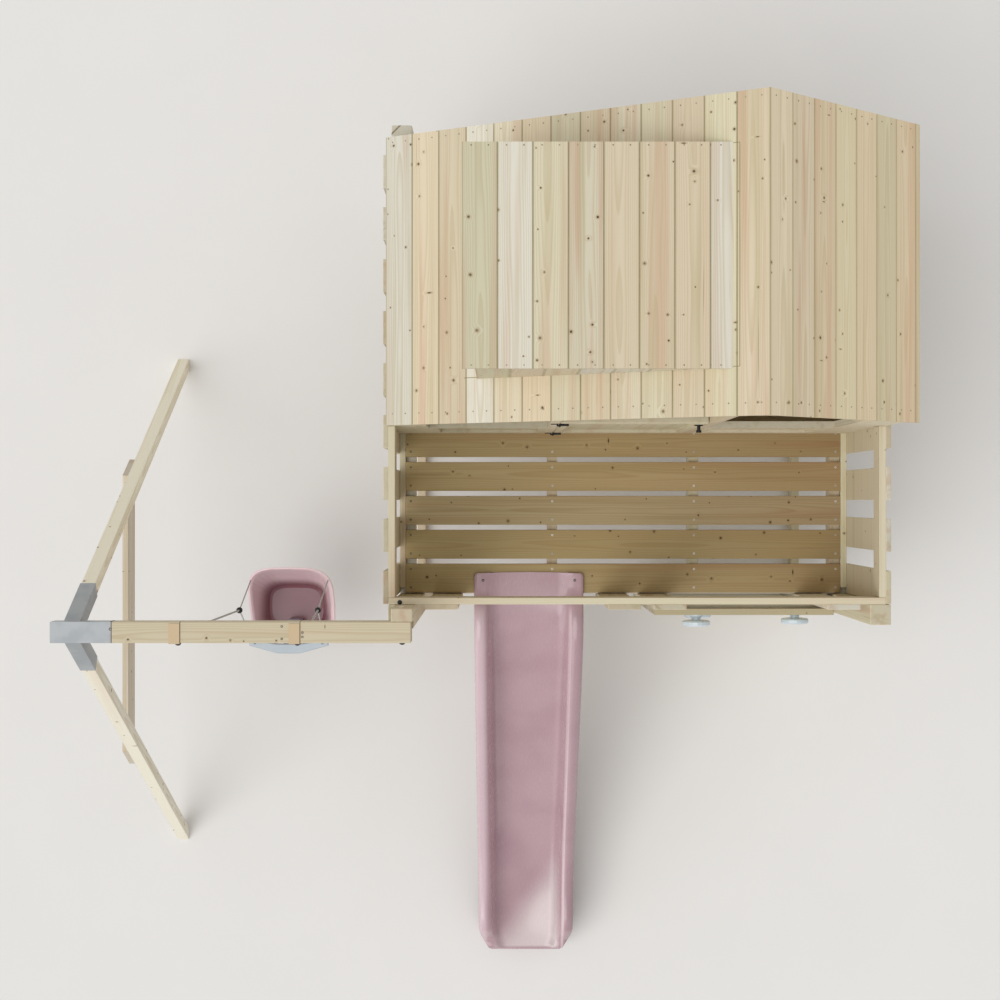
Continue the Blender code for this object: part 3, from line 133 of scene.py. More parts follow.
def pineGroup(look):
    # Place is a spot in its own board: X across it, Y out of its face, Z along the fibres
    group = bpy.data.node_groups.new("planedPineGrain", "ShaderNodeTree")
    for name, kind in (("Place", "Vector"), ("Facing", "Vector"), ("Board", "Float"), ("Joint", "Float")):
        group.interface.new_socket(name, in_out="INPUT", socket_type="NodeSocket" + kind)
    for name, kind in (("Color", "Color"), ("Roughness", "Float"), ("Height", "Float")):
        group.interface.new_socket(name, in_out="OUTPUT", socket_type="NodeSocket" + kind)
    given = addNode(group, "NodeGroupInput", out=None).outputs

    # every board is cut from its own piece of tree
    lot = addNode(group, "TexWhiteNoise", {"W": given["Board"]}, out="Color", noise_dimensions="1D")
    own = addNode(group, "SeparateColor", [lot], out=None).outputs
    moved = addNode(group, "VectorMath", [lot, look["shift"], given["Place"]], "MULTIPLY_ADD")
    inTree = addNode(group, "SeparateXYZ", [moved], out=None).outputs
    tint = addNode(group, "ValToRGB", [own[0]], out=None)
    tint.color_ramp.interpolation = "CONSTANT"
    for index, code in enumerate(look["tints"]):
        if index > 1:
            tint.color_ramp.elements.new(index / len(look["tints"]))
        tint.color_ramp.elements[index].position = index / len(look["tints"])
        tint.color_ramp.elements[index].color = sRgb(code)

    # knots are the ends of branches: most are round on the face, spikes were cut lengthwise
    side = addNode(group, "Math", [inTree[0], inTree[1]], "ADD")

    def knotField(stretch, spacing, kept, small, large):
        # distance to the nearest knot in radii of that knot, and its tone
        across = addNode(group, "Math", [side, stretch], "MULTIPLY")
        flat = addNode(group, "CombineXYZ", [across, inTree[2]])
        cells = addNode(group, "TexVoronoi", {"Vector": flat, "Scale": 1 / spacing}, out=None,
                        voronoi_dimensions="2D").outputs
        chance = addNode(group, "SeparateColor", [cells["Color"]], out=None).outputs
        skew = addNode(group, "Math", [chance[1], look["fewLarge"]], "POWER")
        size = addNode(group, "Math", [skew, large - small, small], "MULTIPLY_ADD")
        here = addNode(group, "Math", [chance[0], kept], "LESS_THAN")
        size = addNode(group, "Math", [size, here], "MULTIPLY")
        size = addNode(group, "Math", [size, look["noKnot"]], "MAXIMUM")
        apart = addNode(group, "Math", [cells["Distance"], spacing], "MULTIPLY")
        return addNode(group, "Math", [apart, size], "DIVIDE"), chance[2]

    roundOnes, tone = knotField(**look["roundKnots"])
    spikes = knotField(**look["spikeKnots"])[0]
    ratio = addNode(group, "Math", [roundOnes, spikes], "MINIMUM")
    ragged = addNode(group, "TexNoise", {"Vector": moved, "Scale": look["raggedness"], "Detail": 2.0})
    ratio = addNode(group, "Math", [ragged, look["ragged"], ratio], "MULTIPLY_ADD")
    heart, rim, bulge = [addNode(group, "MapRange", {0: ratio, **look[edge]}, **softEdge)
                         for edge in ("heartEdge", "rimEdge", "bulgeEdge")]

    # yearly rings round a heart below the board, which bend round the knots; noise and lot lie round 0.5
    wobble = addNode(group, "Mapping", {"Vector": moved, "Scale": look["wobbles"]})
    sway = addNode(group, "TexNoise", {"Vector": wobble, "Scale": 1.0, "Detail": 2.0}, out="Color")
    pithDown = look["pithBelow"] / look["ringWobble"] / 2 + 0.5
    pith = addNode(group, "CombineXYZ", [own[0], pithDown, 0.5])
    push = addNode(group, "VectorMath", [sway, pith], "ADD")
    push = addNode(group, "VectorMath", [push, (-1.0, -1.0, -1.0)], "ADD")
    reach = [2 * look["ringWobble"]] * 3
    ringPlace = addNode(group, "VectorMath", [push, reach, given["Place"]], "MULTIPLY_ADD")
    ringPlace = addNode(group, "VectorMath", [ringPlace, (1.0, 1.0, 0.0)], "MULTIPLY")
    far = addNode(group, "VectorMath", [ringPlace], "LENGTH", out="Value")
    far = addNode(group, "Math", [bulge, look["bulge"], far], "MULTIPLY_ADD")
    ring = addNode(group, "Math", [far, look["ringSpacing"]], "DIVIDE")
    ring = addNode(group, "Math", [ring], "FRACT")
    late = addNode(group, "MapRange", {0: ring, **look["ringEdge"]}, **softEdge)
    rise = addNode(group, "MapRange", {0: ring, **look["ringEnd"]}, **softEdge)
    late = addNode(group, "Math", [late, rise], "MULTIPLY")
    rings = addNode(group, "Math", [late, look["ringShare"]], "MULTIPLY")

    # long streaks: pinkish heartwood, dusky bands and now and then a dark pitch streak
    width, along = 1 / look["streakWidth"], look["streaksAlong"]
    streakPlace = addNode(group, "Mapping", {"Vector": moved, "Scale": (width, width, along)})
    streaks = addNode(group, "TexNoise", {"Vector": streakPlace, "Scale": 1.0, "Detail": 3.0}, out="Color")
    streaks = addNode(group, "SeparateColor", [streaks], out=None).outputs
    warm = addNode(group, "MapRange", {0: streaks[0], **look["warmEdge"]}, **softEdge)
    least, more = look["warmShare"]
    share = addNode(group, "Math", [own[1], more, least], "MULTIPLY_ADD")
    warm = addNode(group, "Math", [warm, share], "MULTIPLY")
    dusk = addNode(group, "MapRange", {0: streaks[1], **look["duskEdge"]}, **softEdge)
    pitchPlace = addNode(group, "Mapping", {"Vector": moved, "Scale": look["pitchStreaks"]})
    pitch = addNode(group, "TexNoise", {"Vector": pitchPlace, "Scale": 1.0, "Detail": 1.0})
    pitch = addNode(group, "MapRange", {0: pitch, **look["pitchEdge"]}, **softEdge)
    width, along = 1 / look["fibre"], look["fibresAlong"]
    fibrePlace = addNode(group, "Mapping", {"Vector": moved, "Scale": (width, width, along)})
    fibre = addNode(group, "TexNoise", {"Vector": fibrePlace, "Scale": 1.0, "Detail": 2.0})
    fibres = addNode(group, "MapRange", {0: fibre, **look["fibreEdge"]}, **softEdge)

    colour = tint.outputs[0]
    for share, paint in ((warm, "heartwood"), (dusk, "dusk"), (rings, "latewood"), (fibres, "latewood"),
                         (pitch, "pitch")):
        colour = addNode(group, "Mix", {0: share, 6: colour, 7: sRgb(look[paint])}, **rgbMix)
    least, more = look["brightness"]
    bright = addNode(group, "Math", [own[2], more, least], "MULTIPLY_ADD")
    colour = addNode(group, "VectorMath", {0: colour, 3: bright}, "SCALE")
    share = addNode(group, "Math", [rim, look["rimShare"]], "MULTIPLY")
    colour = addNode(group, "Mix", {0: share, 6: colour, 7: sRgb(look["knotRim"])}, **rgbMix)
    least, more = look["heartShare"]
    share = addNode(group, "Math", [tone, more, least], "MULTIPLY_ADD")
    share = addNode(group, "Math", [heart, share], "MULTIPLY")
    colour = addNode(group, "Mix", {0: share, 6: colour, 7: sRgb(look["knotHeart"])}, **rgbMix)
    facing = addNode(group, "SeparateXYZ", [given["Facing"]], out=None).outputs
    end = addNode(group, "Math", [facing[2]], "ABSOLUTE")
    end = addNode(group, "MapRange", {0: end, **look["endEdge"]})
    colour = addNode(group, "VectorMath", {0: colour, 3: end}, "SCALE")
    # dust and painted shade along the joints and the dark lines
    share = addNode(group, "Math", [given["Joint"], look["jointShare"]], "MULTIPLY")
    colour = addNode(group, "Mix", {0: share, 6: colour, 7: sRgb(look["jointDust"])}, **rgbMix)

    rough = addNode(group, "Math", [fibre, look["fibreRough"], look["roughness"]], "MULTIPLY_ADD")
    rough = addNode(group, "Math", [heart, look["knotRough"], rough], "MULTIPLY_ADD")
    height = addNode(group, "Math", [late, fibre], "ADD")
    height = addNode(group, "Math", [heart, look["knotProud"], height], "MULTIPLY_ADD")
    addNode(group, "NodeGroupOutput", {"Color": colour, "Roughness": rough, "Height": height}, out=None)
    return group


pineGrain = pineGroup(pineLook)


def boardPlace(tree, place, normal, grain, face, origin):
    # place and normal in a board's own frame: X across it, Y out of its face, Z along the fibres
    turn = {"Rotation": Matrix((face.cross(grain), face, grain)).transposed().to_euler()}
    local = addNode(tree, "Mapping", {"Vector": place, "Location": origin, **turn}, vector_type="TEXTURE")
    facing = addNode(tree, "Mapping", {"Vector": normal, **turn}, vector_type="TEXTURE")
    return local, facing


def manyBoards(tree, local, pitch):
    # splits a face into boards across local X: place in its board, board's number, distance to the joint
    parts = addNode(tree, "SeparateXYZ", [local], out=None).outputs
    count = addNode(tree, "Math", [parts[0], pitch], "DIVIDE")
    number = addNode(tree, "Math", [count], "FLOOR")
    within = addNode(tree, "Math", [count], "FRACT")
    within = addNode(tree, "Math", [within, 0.5], "SUBTRACT")
    across = addNode(tree, "Math", [within, pitch], "MULTIPLY")
    edge = addNode(tree, "Math", [across], "ABSOLUTE")
    edge = addNode(tree, "Math", [pitch / 2, edge], "SUBTRACT")
    return addNode(tree, "CombineXYZ", [across, parts[1], parts[2]]), number, edge


# dark lines on a timber, joints and painted shadow lines: half width, how much dust and painted shade, and
# the share of the line's own colour
lineLook = {"half": 0.0016, "dust": 1.8, "share": 0.85}
# black powder-coated fittings that are one with a CAD timber: satin, and proud of the timber's face
fittingLook = {"colour": "#1B1A1C", "roughness": 0.42, "proud": 0.0004}


def pineMaterial(name, seed, spec):
    made, tree, shader = newMaterial("planedPine_" + name)
    where = addNode(tree, "TexCoord", out=None).outputs
    place, normal = where["Object"], where["Normal"]
    parts = addNode(tree, "SeparateXYZ", [place], out=None).outputs
    local, facing = boardPlace(tree, place, normal, spec["grain"], spec["face"], spec["origin"])
    board, joint, dark = seed, 0.0, 0.0
    if "pitch" in spec:
        local, number, edge = manyBoards(tree, local, spec["pitch"])
        board = addNode(tree, "Math", [number, seed], "ADD")
        joint = addNode(tree, "MapRange", {0: edge, **pineLook["jointEdge"]}, **softEdge)
    if "slats" in spec:
        # rail and slats are one CAD part: what lies further out than the rail is a slat
        slats = spec["slats"]
        onSlat, slatFacing = boardPlace(tree, place, normal, slats["grain"], spec["face"], slats["origin"])
        onSlat, number, edge = manyBoards(tree, onSlat, slats["pitch"])
        out = addNode(tree, "VectorMath", [place, spec["face"]], "DOT_PRODUCT", out="Value")
        isSlat = addNode(tree, "Math", [out, slats["beyond"]], "GREATER_THAN")
        local = addNode(tree, "Mix", {0: isSlat, 4: local, 5: onSlat}, out=1, data_type="VECTOR")
        facing = addNode(tree, "Mix", {0: isSlat, 4: facing, 5: slatFacing}, out=1, data_type="VECTOR")
        number = addNode(tree, "Math", [number, slats["first"]], "ADD")
        board = addNode(tree, "Math", [isSlat, number, seed], "MULTIPLY_ADD")
    for axis, at, low, high in spec.get("lines", ()):
        # saw kerfs, joints and painted shadow lines: each across this axis, from low to high along the
        # other level axis
        middle, reach = (low + high) / 2, (high - low) / 2
        away = addNode(tree, "Math", [parts[axis], at, lineLook["half"]], "COMPARE")
        run = addNode(tree, "Math", [parts[1 - axis], middle, reach], "COMPARE")
        line = addNode(tree, "Math", [away, run], "MULTIPLY")
        dark = addNode(tree, "Math", [dark, line], "MAXIMUM")
        line = addNode(tree, "Math", [line, lineLook["dust"]], "MULTIPLY")
        joint = addNode(tree, "Math", [joint, line], "MAXIMUM")
    colour, rough, height = addNode(tree, "Group", {"Place": local, "Facing": facing, "Board": board,
                                                    "Joint": joint}, out=None, node_tree=pineGrain).outputs
    tone = spec.get("tone", (1.0, 1.0, 1.0))
    if "toneRight" in spec:    # painted shade: the tone changes evenly from the left end to the right one
        share = addNode(tree, "MapRange", [parts[0], corner.x, deckRight])
        tone = addNode(tree, "Mix", {0: share, 4: tone, 5: spec["toneRight"]}, out=1, data_type="VECTOR")
    colour = addNode(tree, "VectorMath", [colour, tone], "MULTIPLY")
    # the line colour darkens the joints and paints the shadow lines
    if "lineColour" in spec:
        dark = addNode(tree, "Math", [dark, lineLook["share"]], "MULTIPLY")
        colour = addNode(tree, "Mix", {0: dark, 6: colour, 7: sRgb(spec["lineColour"])}, **rgbMix)
    if "fitting" in spec:
        outward, beyond = spec["fitting"]
        out = addNode(tree, "VectorMath", [place, outward], "DOT_PRODUCT", out="Value")
        isSteel = addNode(tree, "Math", [out, beyond], "GREATER_THAN")
        colour = addNode(tree, "Mix", {0: isSteel, 6: colour, 7: sRgb(fittingLook["colour"])}, **rgbMix)
        rough = addNode(tree, "Mix", {0: isSteel, 2: rough, 3: fittingLook["roughness"]})
        height = addNode(tree, "Mix", {0: isSteel, 2: height, 3: 0.0})
    bump = addNode(tree, "Bump", {"Height": height, "Strength": pineLook["bump"],
                                  "Distance": pineLook["bumpDepth"]})
    setSockets(tree, shader, {"Base Color": colour, "Roughness": rough, "Normal": bump,
                              "IOR": pineLook["ior"], "Specular IOR Level": pineLook["specular"]})
    return made


def boxSpec(name):
    # a plain timber: fibres along its longest side, its face the widest one
    low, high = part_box(name)
    size = high - low
    order = sorted(range(3), key=lambda axis: size[axis])
    face, grain = [(toRight, toRear, toTop)[axis] for axis in (order[0], order[2])]
    return {"grain": grain, "face": face, "origin": (low + high) / 2 + face * size[order[0]] / 2}


# how the boards of a built-up face run
boardLook = {
    "cover": 0.127,    # cover of the tongue-and-groove boards
    "leftFall": (-1.41515, 0, -0.85), "rightFall": (0.67785, 0, -0.618),    # each slope from ridge to eave
    "climbingBoards": 9,
    "slatPitch": 0.2125, "slatWidth": 0.135, "firstSlat": 0.0017, "slatProud": 0.0008,
    "firstSlatTree": 3.0,    # so that no slat shares its rail's tree
    "legSlope": 61.2,
}
cover = boardLook["cover"]
leftFall, rightFall = [Vector(boardLook[key]).normalized() for key in ("leftFall", "rightFall")]
slatPitch, slatWidth = boardLook["slatPitch"], boardLook["slatWidth"]
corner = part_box("rim_front")[0]    # the deck's front left corner
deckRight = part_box("rim_front")[1].x
firstSlat = corner.y + boardLook["firstSlat"]
slatStart = firstSlat - (slatPitch - slatWidth) / 2
legSlope = math.radians(boardLook["legSlope"])
spec = {name: boxSpec(name) for name in nodes}
for name, fall, grain in (("roof_left", leftFall, toRear), ("roof_right", rightFall, -toRear)):
    low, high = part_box(name)
    ridge = Vector((high.x if name == "roof_left" else low.x, low.y, high.z))
    spec[name] = {"grain": grain, "face": grain.cross(fall), "origin": ridge, "pitch": cover}
for name, grain in (("dormer_roof", -toRear), ("house_floor", toRight)):
    low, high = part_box(name)
    spec[name] = {"grain": grain, "face": toTop, "origin": Vector((low.x, low.y, high.z)), "pitch": cover}
diagonal = Vector((-1, -1, 0)).normalized()    # so that the dormer's cheeks and front all show boards
for name, grain, face, pitch in (("dormer_walls", toTop, diagonal, cover / math.sqrt(2)),
                                 ("front_gable", -toTop, -toRear, cover),
                                 ("house_wall_back", toTop, toRear, cover)):
    spec[name] = {"grain": grain, "face": face, "origin": Vector(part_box(name)[0]), "pitch": pitch}
climbLow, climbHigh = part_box("climbing_wall")
climbPitch = (climbHigh.z - climbLow.z) / boardLook["climbingBoards"]
spec["climbing_wall"] = {"grain": toRight, "face": -toRear, "origin": Vector(climbLow), "pitch": climbPitch}
for name, side in (("leg_back", 1), ("leg_front", -1)):
    spec[name]["grain"] = Vector((0, side * math.cos(legSlope), -math.sin(legSlope)))
    spec[name]["face"] = -toRight
for word, face, grain, at in (("left", -toRight, toTop, -corner.x), ("right", toRight, -toTop, deckRight)):
    for name in ("railing_" + word, "house_wall_" + word):
        spec[name] = {"grain": toRear, "face": face, "origin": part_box(name)[1]}
        spec[name]["slats"] = {"grain": grain, "origin": (0, slatStart, 0), "pitch": slatPitch,
                               "beyond": at + boardLook["slatProud"], "first": boardLook["firstSlatTree"]}

# saw kerfs in the left slope, this far from the edges of the dormer's roof
kerf = {"left": -0.005, "right": 0.022, "front": 0.0075, "back": -0.004}
dormerLow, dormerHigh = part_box("dormer_roof")
kerfLeft, kerfRight = dormerLow.x + kerf["left"], dormerHigh.x + kerf["right"]
kerfFront, kerfBack = dormerLow.y + kerf["front"], dormerHigh.y + kerf["back"]
spec["roof_left"]["lines"] = ((1, kerfFront, kerfLeft, kerfRight), (1, kerfBack, kerfLeft, kerfRight),
                              (0, kerfRight, kerfFront, kerfBack))

# the swing beam is notched into the front left post, with a dark joint line at its bracket and a painted
# shadow line beside each strap
beamLook = {"notchRear": 0.0327, "depth": 0.084, "joint": 0.0015, "strapEdge": -0.0085, "shade": 0.0014,
            "lineColour": "#5F4B30"}
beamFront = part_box("post_front_left")[0].y + beamLook["notchRear"] - beamLook["depth"]
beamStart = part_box("beam_bracket")[1].x
shadeX = beamLook["strapEdge"] + beamLook["shade"]
lineX = (beamStart + beamLook["joint"], middleX("hook_left") + shadeX, middleX("hook_right") + shadeX)
spec["swing_beam"]["lines"] = [(0, x, -0.5, 0.5) for x in lineX]
spec["swing_beam"]["lineColour"] = beamLook["lineColour"]

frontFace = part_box("front_wall_left")[0].y
for name, front in (("door", frontFace), ("hinge_post", frontFace), ("swing_beam", beamFront)):
    spec[name]["fitting"] = (-toRear, fittingLook["proud"] - front)

# a timber's tone beside plain pine, and the tree it was cut from: a paler or a pinker one, as in the photo;
# a tone that paints light or shade says so beside it
timberLook = {
    "dormer_roof": {"seed": 12395.37},
    "roof_left": {"seed": 414.37},
    # painted light: the right slope is lightened to make up for the less light that falls on it
    "roof_right": {"seed": 156.37, "tone": (1.25, 1.19, 1.13)},
    "swing_beam": {"seed": 14.37, "tone": (0.89, 0.85, 0.82)},
    "rail_front": {"seed": 29.37},
    "railing_right": {"seed": 34.37},
    "front_wall_left": {"seed": 51.37},
    "front_wall_right": {"seed": 53.37},
    "leg_back": {"seed": 17.37, "tone": (1.30, 1.29, 1.24)},
    "leg_front": {"seed": 52.37, "tone": (1.16, 1.16, 1.17)},
    "leg_spreader": {"tone": (0.94, 0.88, 0.86)},
    "house_floor": {"tone": (0.70, 0.60, 0.46)},
    "deck_board": {"tone": (0.70, 0.59, 0.39), "toneRight": (0.52, 0.40, 0.26)},    # greyer, more olive boards, darkened further with painted shade that deepens towards the right end
}
plainSeed = {"first": 3.37, "step": 17.0}    # for a timber whose tree wasn't chosen
otherThanPine = ("beam_bracket", "climbing_hold", "hanger", "hook", "rope", "swing_seat", "seat_bar",
                 "slide")
for index, name in enumerate(sorted(nodes)):
    if not name.startswith(otherThanPine):
        own = timberLook.get("deck_board" if name.startswith("deck_board") else name, {})
        seed = own.get("seed", plainSeed["first"] + plainSeed["step"] * index)
        dress([name], pineMaterial(name, seed, {**spec[name], **own}))
print("timbers grained")


# moulded plastics, by the start of their nodes' names; scratch is how much duller rubbed lines are, and rub
# how fine they are in each direction
plasticLook = {
    # rotation-moulded polyethylene: a satin gloss over slow swells, dull where it is rubbed
    "slide": {"name": "mouldedPinkPolyethylene", "colour": "#BB9DA4", "second": "#B2929A",
              "roughness": 0.25, "scratch": 0.04, "rub": (90.0, 6.0, 6.0),
              # painted highlight: the bed's run-out at the foot is paled where gloss would catch the light
              "rubbed": {"colour": "#E6DEDA", "share": 0.52, "from": (0.30, -1.405),
                         "towards": (0.824, -0.567), "reach": 0.17, "half": 0.165, "sideFade": 0.01,
                         "end": -1.905, "endFade": 0.006},
              # stripes along the lips, each with its middle, half width, colour and share: a painted
              # highlight on the left lip, painted shade on the right one and a painted highlight along its
              # inner edge
              "lips": ((-0.227, 0.040, "#E6D2D8", 0.42), (0.226, 0.034, "#8E757B", 0.34),
                       (0.187, 0.009, "#F0DEE0", 0.45)), "lipCore": 0.4, "lipsBelow": {1: -0.06, 2: -0.14}},
    # blow-moulded polyethylene: pale at the rim, with painted shade darkening the hollow towards its bottom
    "swing_seat": {"name": "blowMouldedPinkSeat", "colour": "#F0D4D7", "second": "#E4C6CB",
                   "roughness": 0.28, "scratch": 0.04, "rub": (40.0, 40.0, 40.0),
                   "hollow": {"colour": "#885960", "edge": {1: 0.600, 2: 0.435}}},
    # injection-moulded polypropylene: an even milky blue, clear gloss
    "seat_bar": {"name": "mouldedPaleBlue", "colour": "#B3BEC6", "second": "#A8B5BF", "roughness": 0.24,
                 "scratch": 0.04, "rub": (60.0, 60.0, 60.0)},
    # the same from a polished mould: wet gloss under more scratches
    "climbing_hold": {"name": "mouldedPaleBlueHold", "colour": "#CCD8DF", "second": "#BCCBD5",
                      "roughness": 0.20, "scratch": 0.06, "rub": (70.0, 70.0, 70.0)},
}
# what all mouldings share: patterns by the metre, with a ripple of 8 mm on swells of 11 cm, and the gloss
mouldedSkin = {"clouds": 3.5, "detail": 2.0, "cloudEdge": {1: 0.35, 2: 0.70}, "scratches": 5.0,
               "scratchEdge": {1: 0.50, 2: 0.72}, "ripples": 120.0, "rippleShare": 0.02, "swells": 9.0,
               "bump": 0.30, "bumpDepth": 0.0010, "ior": 1.51, "coat": 0.30, "coatRoughness": 0.12}
slideMiddle = middleX("slide")


def cloudyBase(look, skin):
    # a material whose colour drifts to its second tone in slow clouds
    made, tree, shader = newMaterial(look["name"])
    where = addNode(tree, "TexCoord", out="Object")
    cloud = addNode(tree, "TexNoise", {"Vector": where, "Scale": skin["clouds"], "Detail": skin["detail"]})
    cloud = addNode(tree, "MapRange", {0: cloud, **skin["cloudEdge"]}, **softEdge)
    colour = addNode(tree, "Mix", {0: cloud, 6: sRgb(look["colour"]), 7: sRgb(look["second"])}, **rgbMix)
    return made, tree, shader, where, colour


def slidePaintedLight(tree, where, parts, look, colour):
    # a painted highlight at the slide's foot, then stripes of painted highlight and shade along its lips
    rubbed = look["rubbed"]
    side = addNode(tree, "Math", [parts["X"], slideMiddle], "SUBTRACT")
    onBed = addNode(tree, "Math", [side], "ABSOLUTE")
    half, fade = rubbed["half"], rubbed["sideFade"]
    onBed = addNode(tree, "MapRange", [onBed, half + fade, half - fade])
    past = addNode(tree, "VectorMath", [where, (*rubbed["from"], 0.0)], "SUBTRACT")
    past = addNode(tree, "VectorMath", [past, (*rubbed["towards"], 0.0)], "DOT_PRODUCT", out="Value")
    share = addNode(tree, "MapRange", {0: past, 1: 0.0, 2: rubbed["reach"], 4: rubbed["share"]}, **softEdge)
    share = addNode(tree, "Math", [share, onBed], "MULTIPLY")
    end, fade = rubbed["end"], rubbed["endFade"]
    inside = addNode(tree, "MapRange", [parts["Y"], end - fade, end + fade])
    share = addNode(tree, "Math", [share, inside], "MULTIPLY")
    colour = addNode(tree, "Mix", {0: share, 6: colour, 7: sRgb(rubbed["colour"])}, **rgbMix)
    below = addNode(tree, "MapRange", {0: parts["Y"], **look["lipsBelow"]}, **softEdge)
    # painted highlight and painted shade along the lips
    for at, half, paint, share in look["lips"]:
        away = addNode(tree, "Math", [side, at], "SUBTRACT")
        away = addNode(tree, "Math", [away], "ABSOLUTE")
        core = half * look["lipCore"]
        stripe = addNode(tree, "MapRange", {0: away, 1: half, 2: core, 4: share}, **softEdge)
        stripe = addNode(tree, "Math", [stripe, below], "MULTIPLY")
        colour = addNode(tree, "Mix", {0: stripe, 6: colour, 7: sRgb(paint)}, **rgbMix)
    return colour


def plasticMaterial(look, skin):
    made, tree, shader, where, colour = cloudyBase(look, skin)
    parts = addNode(tree, "SeparateXYZ", [where], out=None).outputs
    if "hollow" in look:
        # painted shade: darker towards the bottom of the hollow
        share = addNode(tree, "MapRange", {0: parts["Z"], **look["hollow"]["edge"]}, **softEdge)
        colour = addNode(tree, "Mix", {0: share, 6: colour, 7: sRgb(look["hollow"]["colour"])}, **rgbMix)
    # painted highlight and painted shade on the slide
    if "rubbed" in look:
        colour = slidePaintedLight(tree, where, parts, look, colour)
    drawn = addNode(tree, "Mapping", {"Vector": where, "Scale": look["rub"]})
    scratch = addNode(tree, "TexNoise", {"Vector": drawn, "Scale": skin["scratches"], "Detail": 5.0})
    smooth, rubbed = look["roughness"], look["roughness"] + 2 * look["scratch"]
    rough = addNode(tree, "MapRange", {0: scratch, **skin["scratchEdge"], 3: smooth, 4: rubbed}, **softEdge)
    ripple = addNode(tree, "TexNoise", {"Vector": where, "Scale": skin["ripples"], "Detail": 1.0})
    swell = addNode(tree, "TexNoise", {"Vector": where, "Scale": skin["swells"], "Detail": 1.0})
    height = addNode(tree, "Math", [ripple, skin["rippleShare"], swell], "MULTIPLY_ADD")
    bump = addNode(tree, "Bump", {"Height": height, "Strength": skin["bump"],
                                  "Distance": skin["bumpDepth"]})
    setSockets(tree, shader, {"Base Color": colour, "Roughness": rough, "Normal": bump, "IOR": skin["ior"],
                              "Coat Weight": skin["coat"], "Coat Roughness": skin["coatRoughness"]})
    return made


for start, look in plasticLook.items():
    dress([name for name in nodes if name.startswith(start)], plasticMaterial(look, mouldedSkin))


steelLook = {
    # powder coat: matt grey, faintly cloudy, with the fine dimples of orange peel
    "grey": {"name": "greyPowderCoat", "colour": "#A6AAAC", "second": "#9A9FA2", "metallic": 0.2,
             "roughness": 0.42},
    # black powder coat: its dimples show only in the gloss
    "black": {"name": "blackPowderCoat", "colour": "#1B1A1C", "second": "#26252A", "metallic": 0.2,
              "roughness": 0.45},
    # black strap, beige where it lies over the beam
    "strap": {"name": "beigeAndBlackPowderCoat", "colour": "#1B1A1C", "second": "#26252A", "metallic": 0.0,
              "roughness": 0.45, "above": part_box("swing_beam")[1].z - 0.0005, "top": "#C9B18C"},
    # bright zinc plating: a pale, slightly patchy gleam
    "zinc": {"name": "brightZincScrew", "colour": "#CFCDC6", "second": "#A5A39B", "metallic": 0.8,
             "roughness": 0.36},
    # zinc that has stood outside: dark, brownish and dull; on the deck's first row it is painted shade
    "dull": {"name": "weatheredZincScrew", "colour": "#6F6A62", "second": "#57524B", "metallic": 0.5,
             "roughness": 0.50},
    # yellow-passivated zinc: a warm, brassy grey
    "nail": {"name": "yellowZincNail", "colour": "#A79C86", "second": "#8A7D66", "metallic": 0.6,
             "roughness": 0.45},
}
# what all coats share, by the metre: clouds of 7 cm, and orange peel of 1.5 mm
coatedSkin = {"clouds": 14.0, "detail": 3.0, "cloudEdge": {1: 0.38, 2: 0.66}, "peels": 650.0,
              "peelRough": 0.12, "bump": 0.20, "bumpDepth": 0.0004}


def steelMaterial(look, skin):
    made, tree, shader, where, colour = cloudyBase(look, skin)
    peel = addNode(tree, "TexNoise", {"Vector": where, "Scale": skin["peels"], "Detail": 1.0})
    if "above" in look:
        height = addNode(tree, "SeparateXYZ", [where], out="Z")
        over = addNode(tree, "Math", [height, look["above"]], "GREATER_THAN")
        colour = addNode(tree, "Mix", {0: over, 6: colour, 7: sRgb(look["top"])}, **rgbMix)
    smoothest = look["roughness"] - skin["peelRough"] / 2
    rough = addNode(tree, "Math", [peel, skin["peelRough"], smoothest], "MULTIPLY_ADD")
    bump = addNode(tree, "Bump", {"Height": peel, "Strength": skin["bump"], "Distance": skin["bumpDepth"]})
    setSockets(tree, shader, {"Base Color": colour, "Roughness": rough, "Normal": bump,
                              "Metallic": look["metallic"]})
    return made


steel = {key: steelMaterial(look, coatedSkin) for key, look in steelLook.items()}
dress(["beam_bracket"], steel["grey"])
dress(["hanger_left", "hanger_right"], steel["strap"])
dress(["hook_left", "hook_right"], steel["black"])
print("plastic and steel made")

# the slide's shell over its CAD solid: the flange runs a little further over the deck and bows outwards
shellLook = {"flangeFrom": corner.y + 0.045, "longer": 0.022, "bow": 0.007, "weld": 0.0001, "smooth": 62}
low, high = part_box("slide")
slideShell = nodes["slide"].copy()
slideShell.data = nodes["slide"].data.copy()
scene.collection.objects.link(slideShell)
slideShell.name = "slideShell"
for vertex in slideShell.data.vertices:
    if vertex.co.y > shellLook["flangeFrom"]:
        share = 2 * (vertex.co.x - slideMiddle) / (high.x - low.x)
        vertex.co.y += shellLook["longer"] + shellLook["bow"] * (1 - share * share)
bpy.ops.object.select_all(action="DESELECT")
slideShell.select_set(True)
bpy.context.view_layer.objects.active = slideShell
bpy.ops.object.mode_set(mode="EDIT")
bpy.ops.mesh.select_all(action="SELECT")
bpy.ops.mesh.remove_doubles(threshold=shellLook["weld"])
bpy.ops.object.mode_set(mode="OBJECT")
bpy.ops.object.shade_smooth_by_angle(angle=math.radians(shellLook["smooth"]))
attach(slideShell, "tower")
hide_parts("slide")
print("slide's shell made")


def clearAll():
    if bpy.context.object and bpy.context.object.mode != "OBJECT":
        bpy.ops.object.mode_set(mode="OBJECT")
    bpy.ops.object.select_all(action="DESELECT")


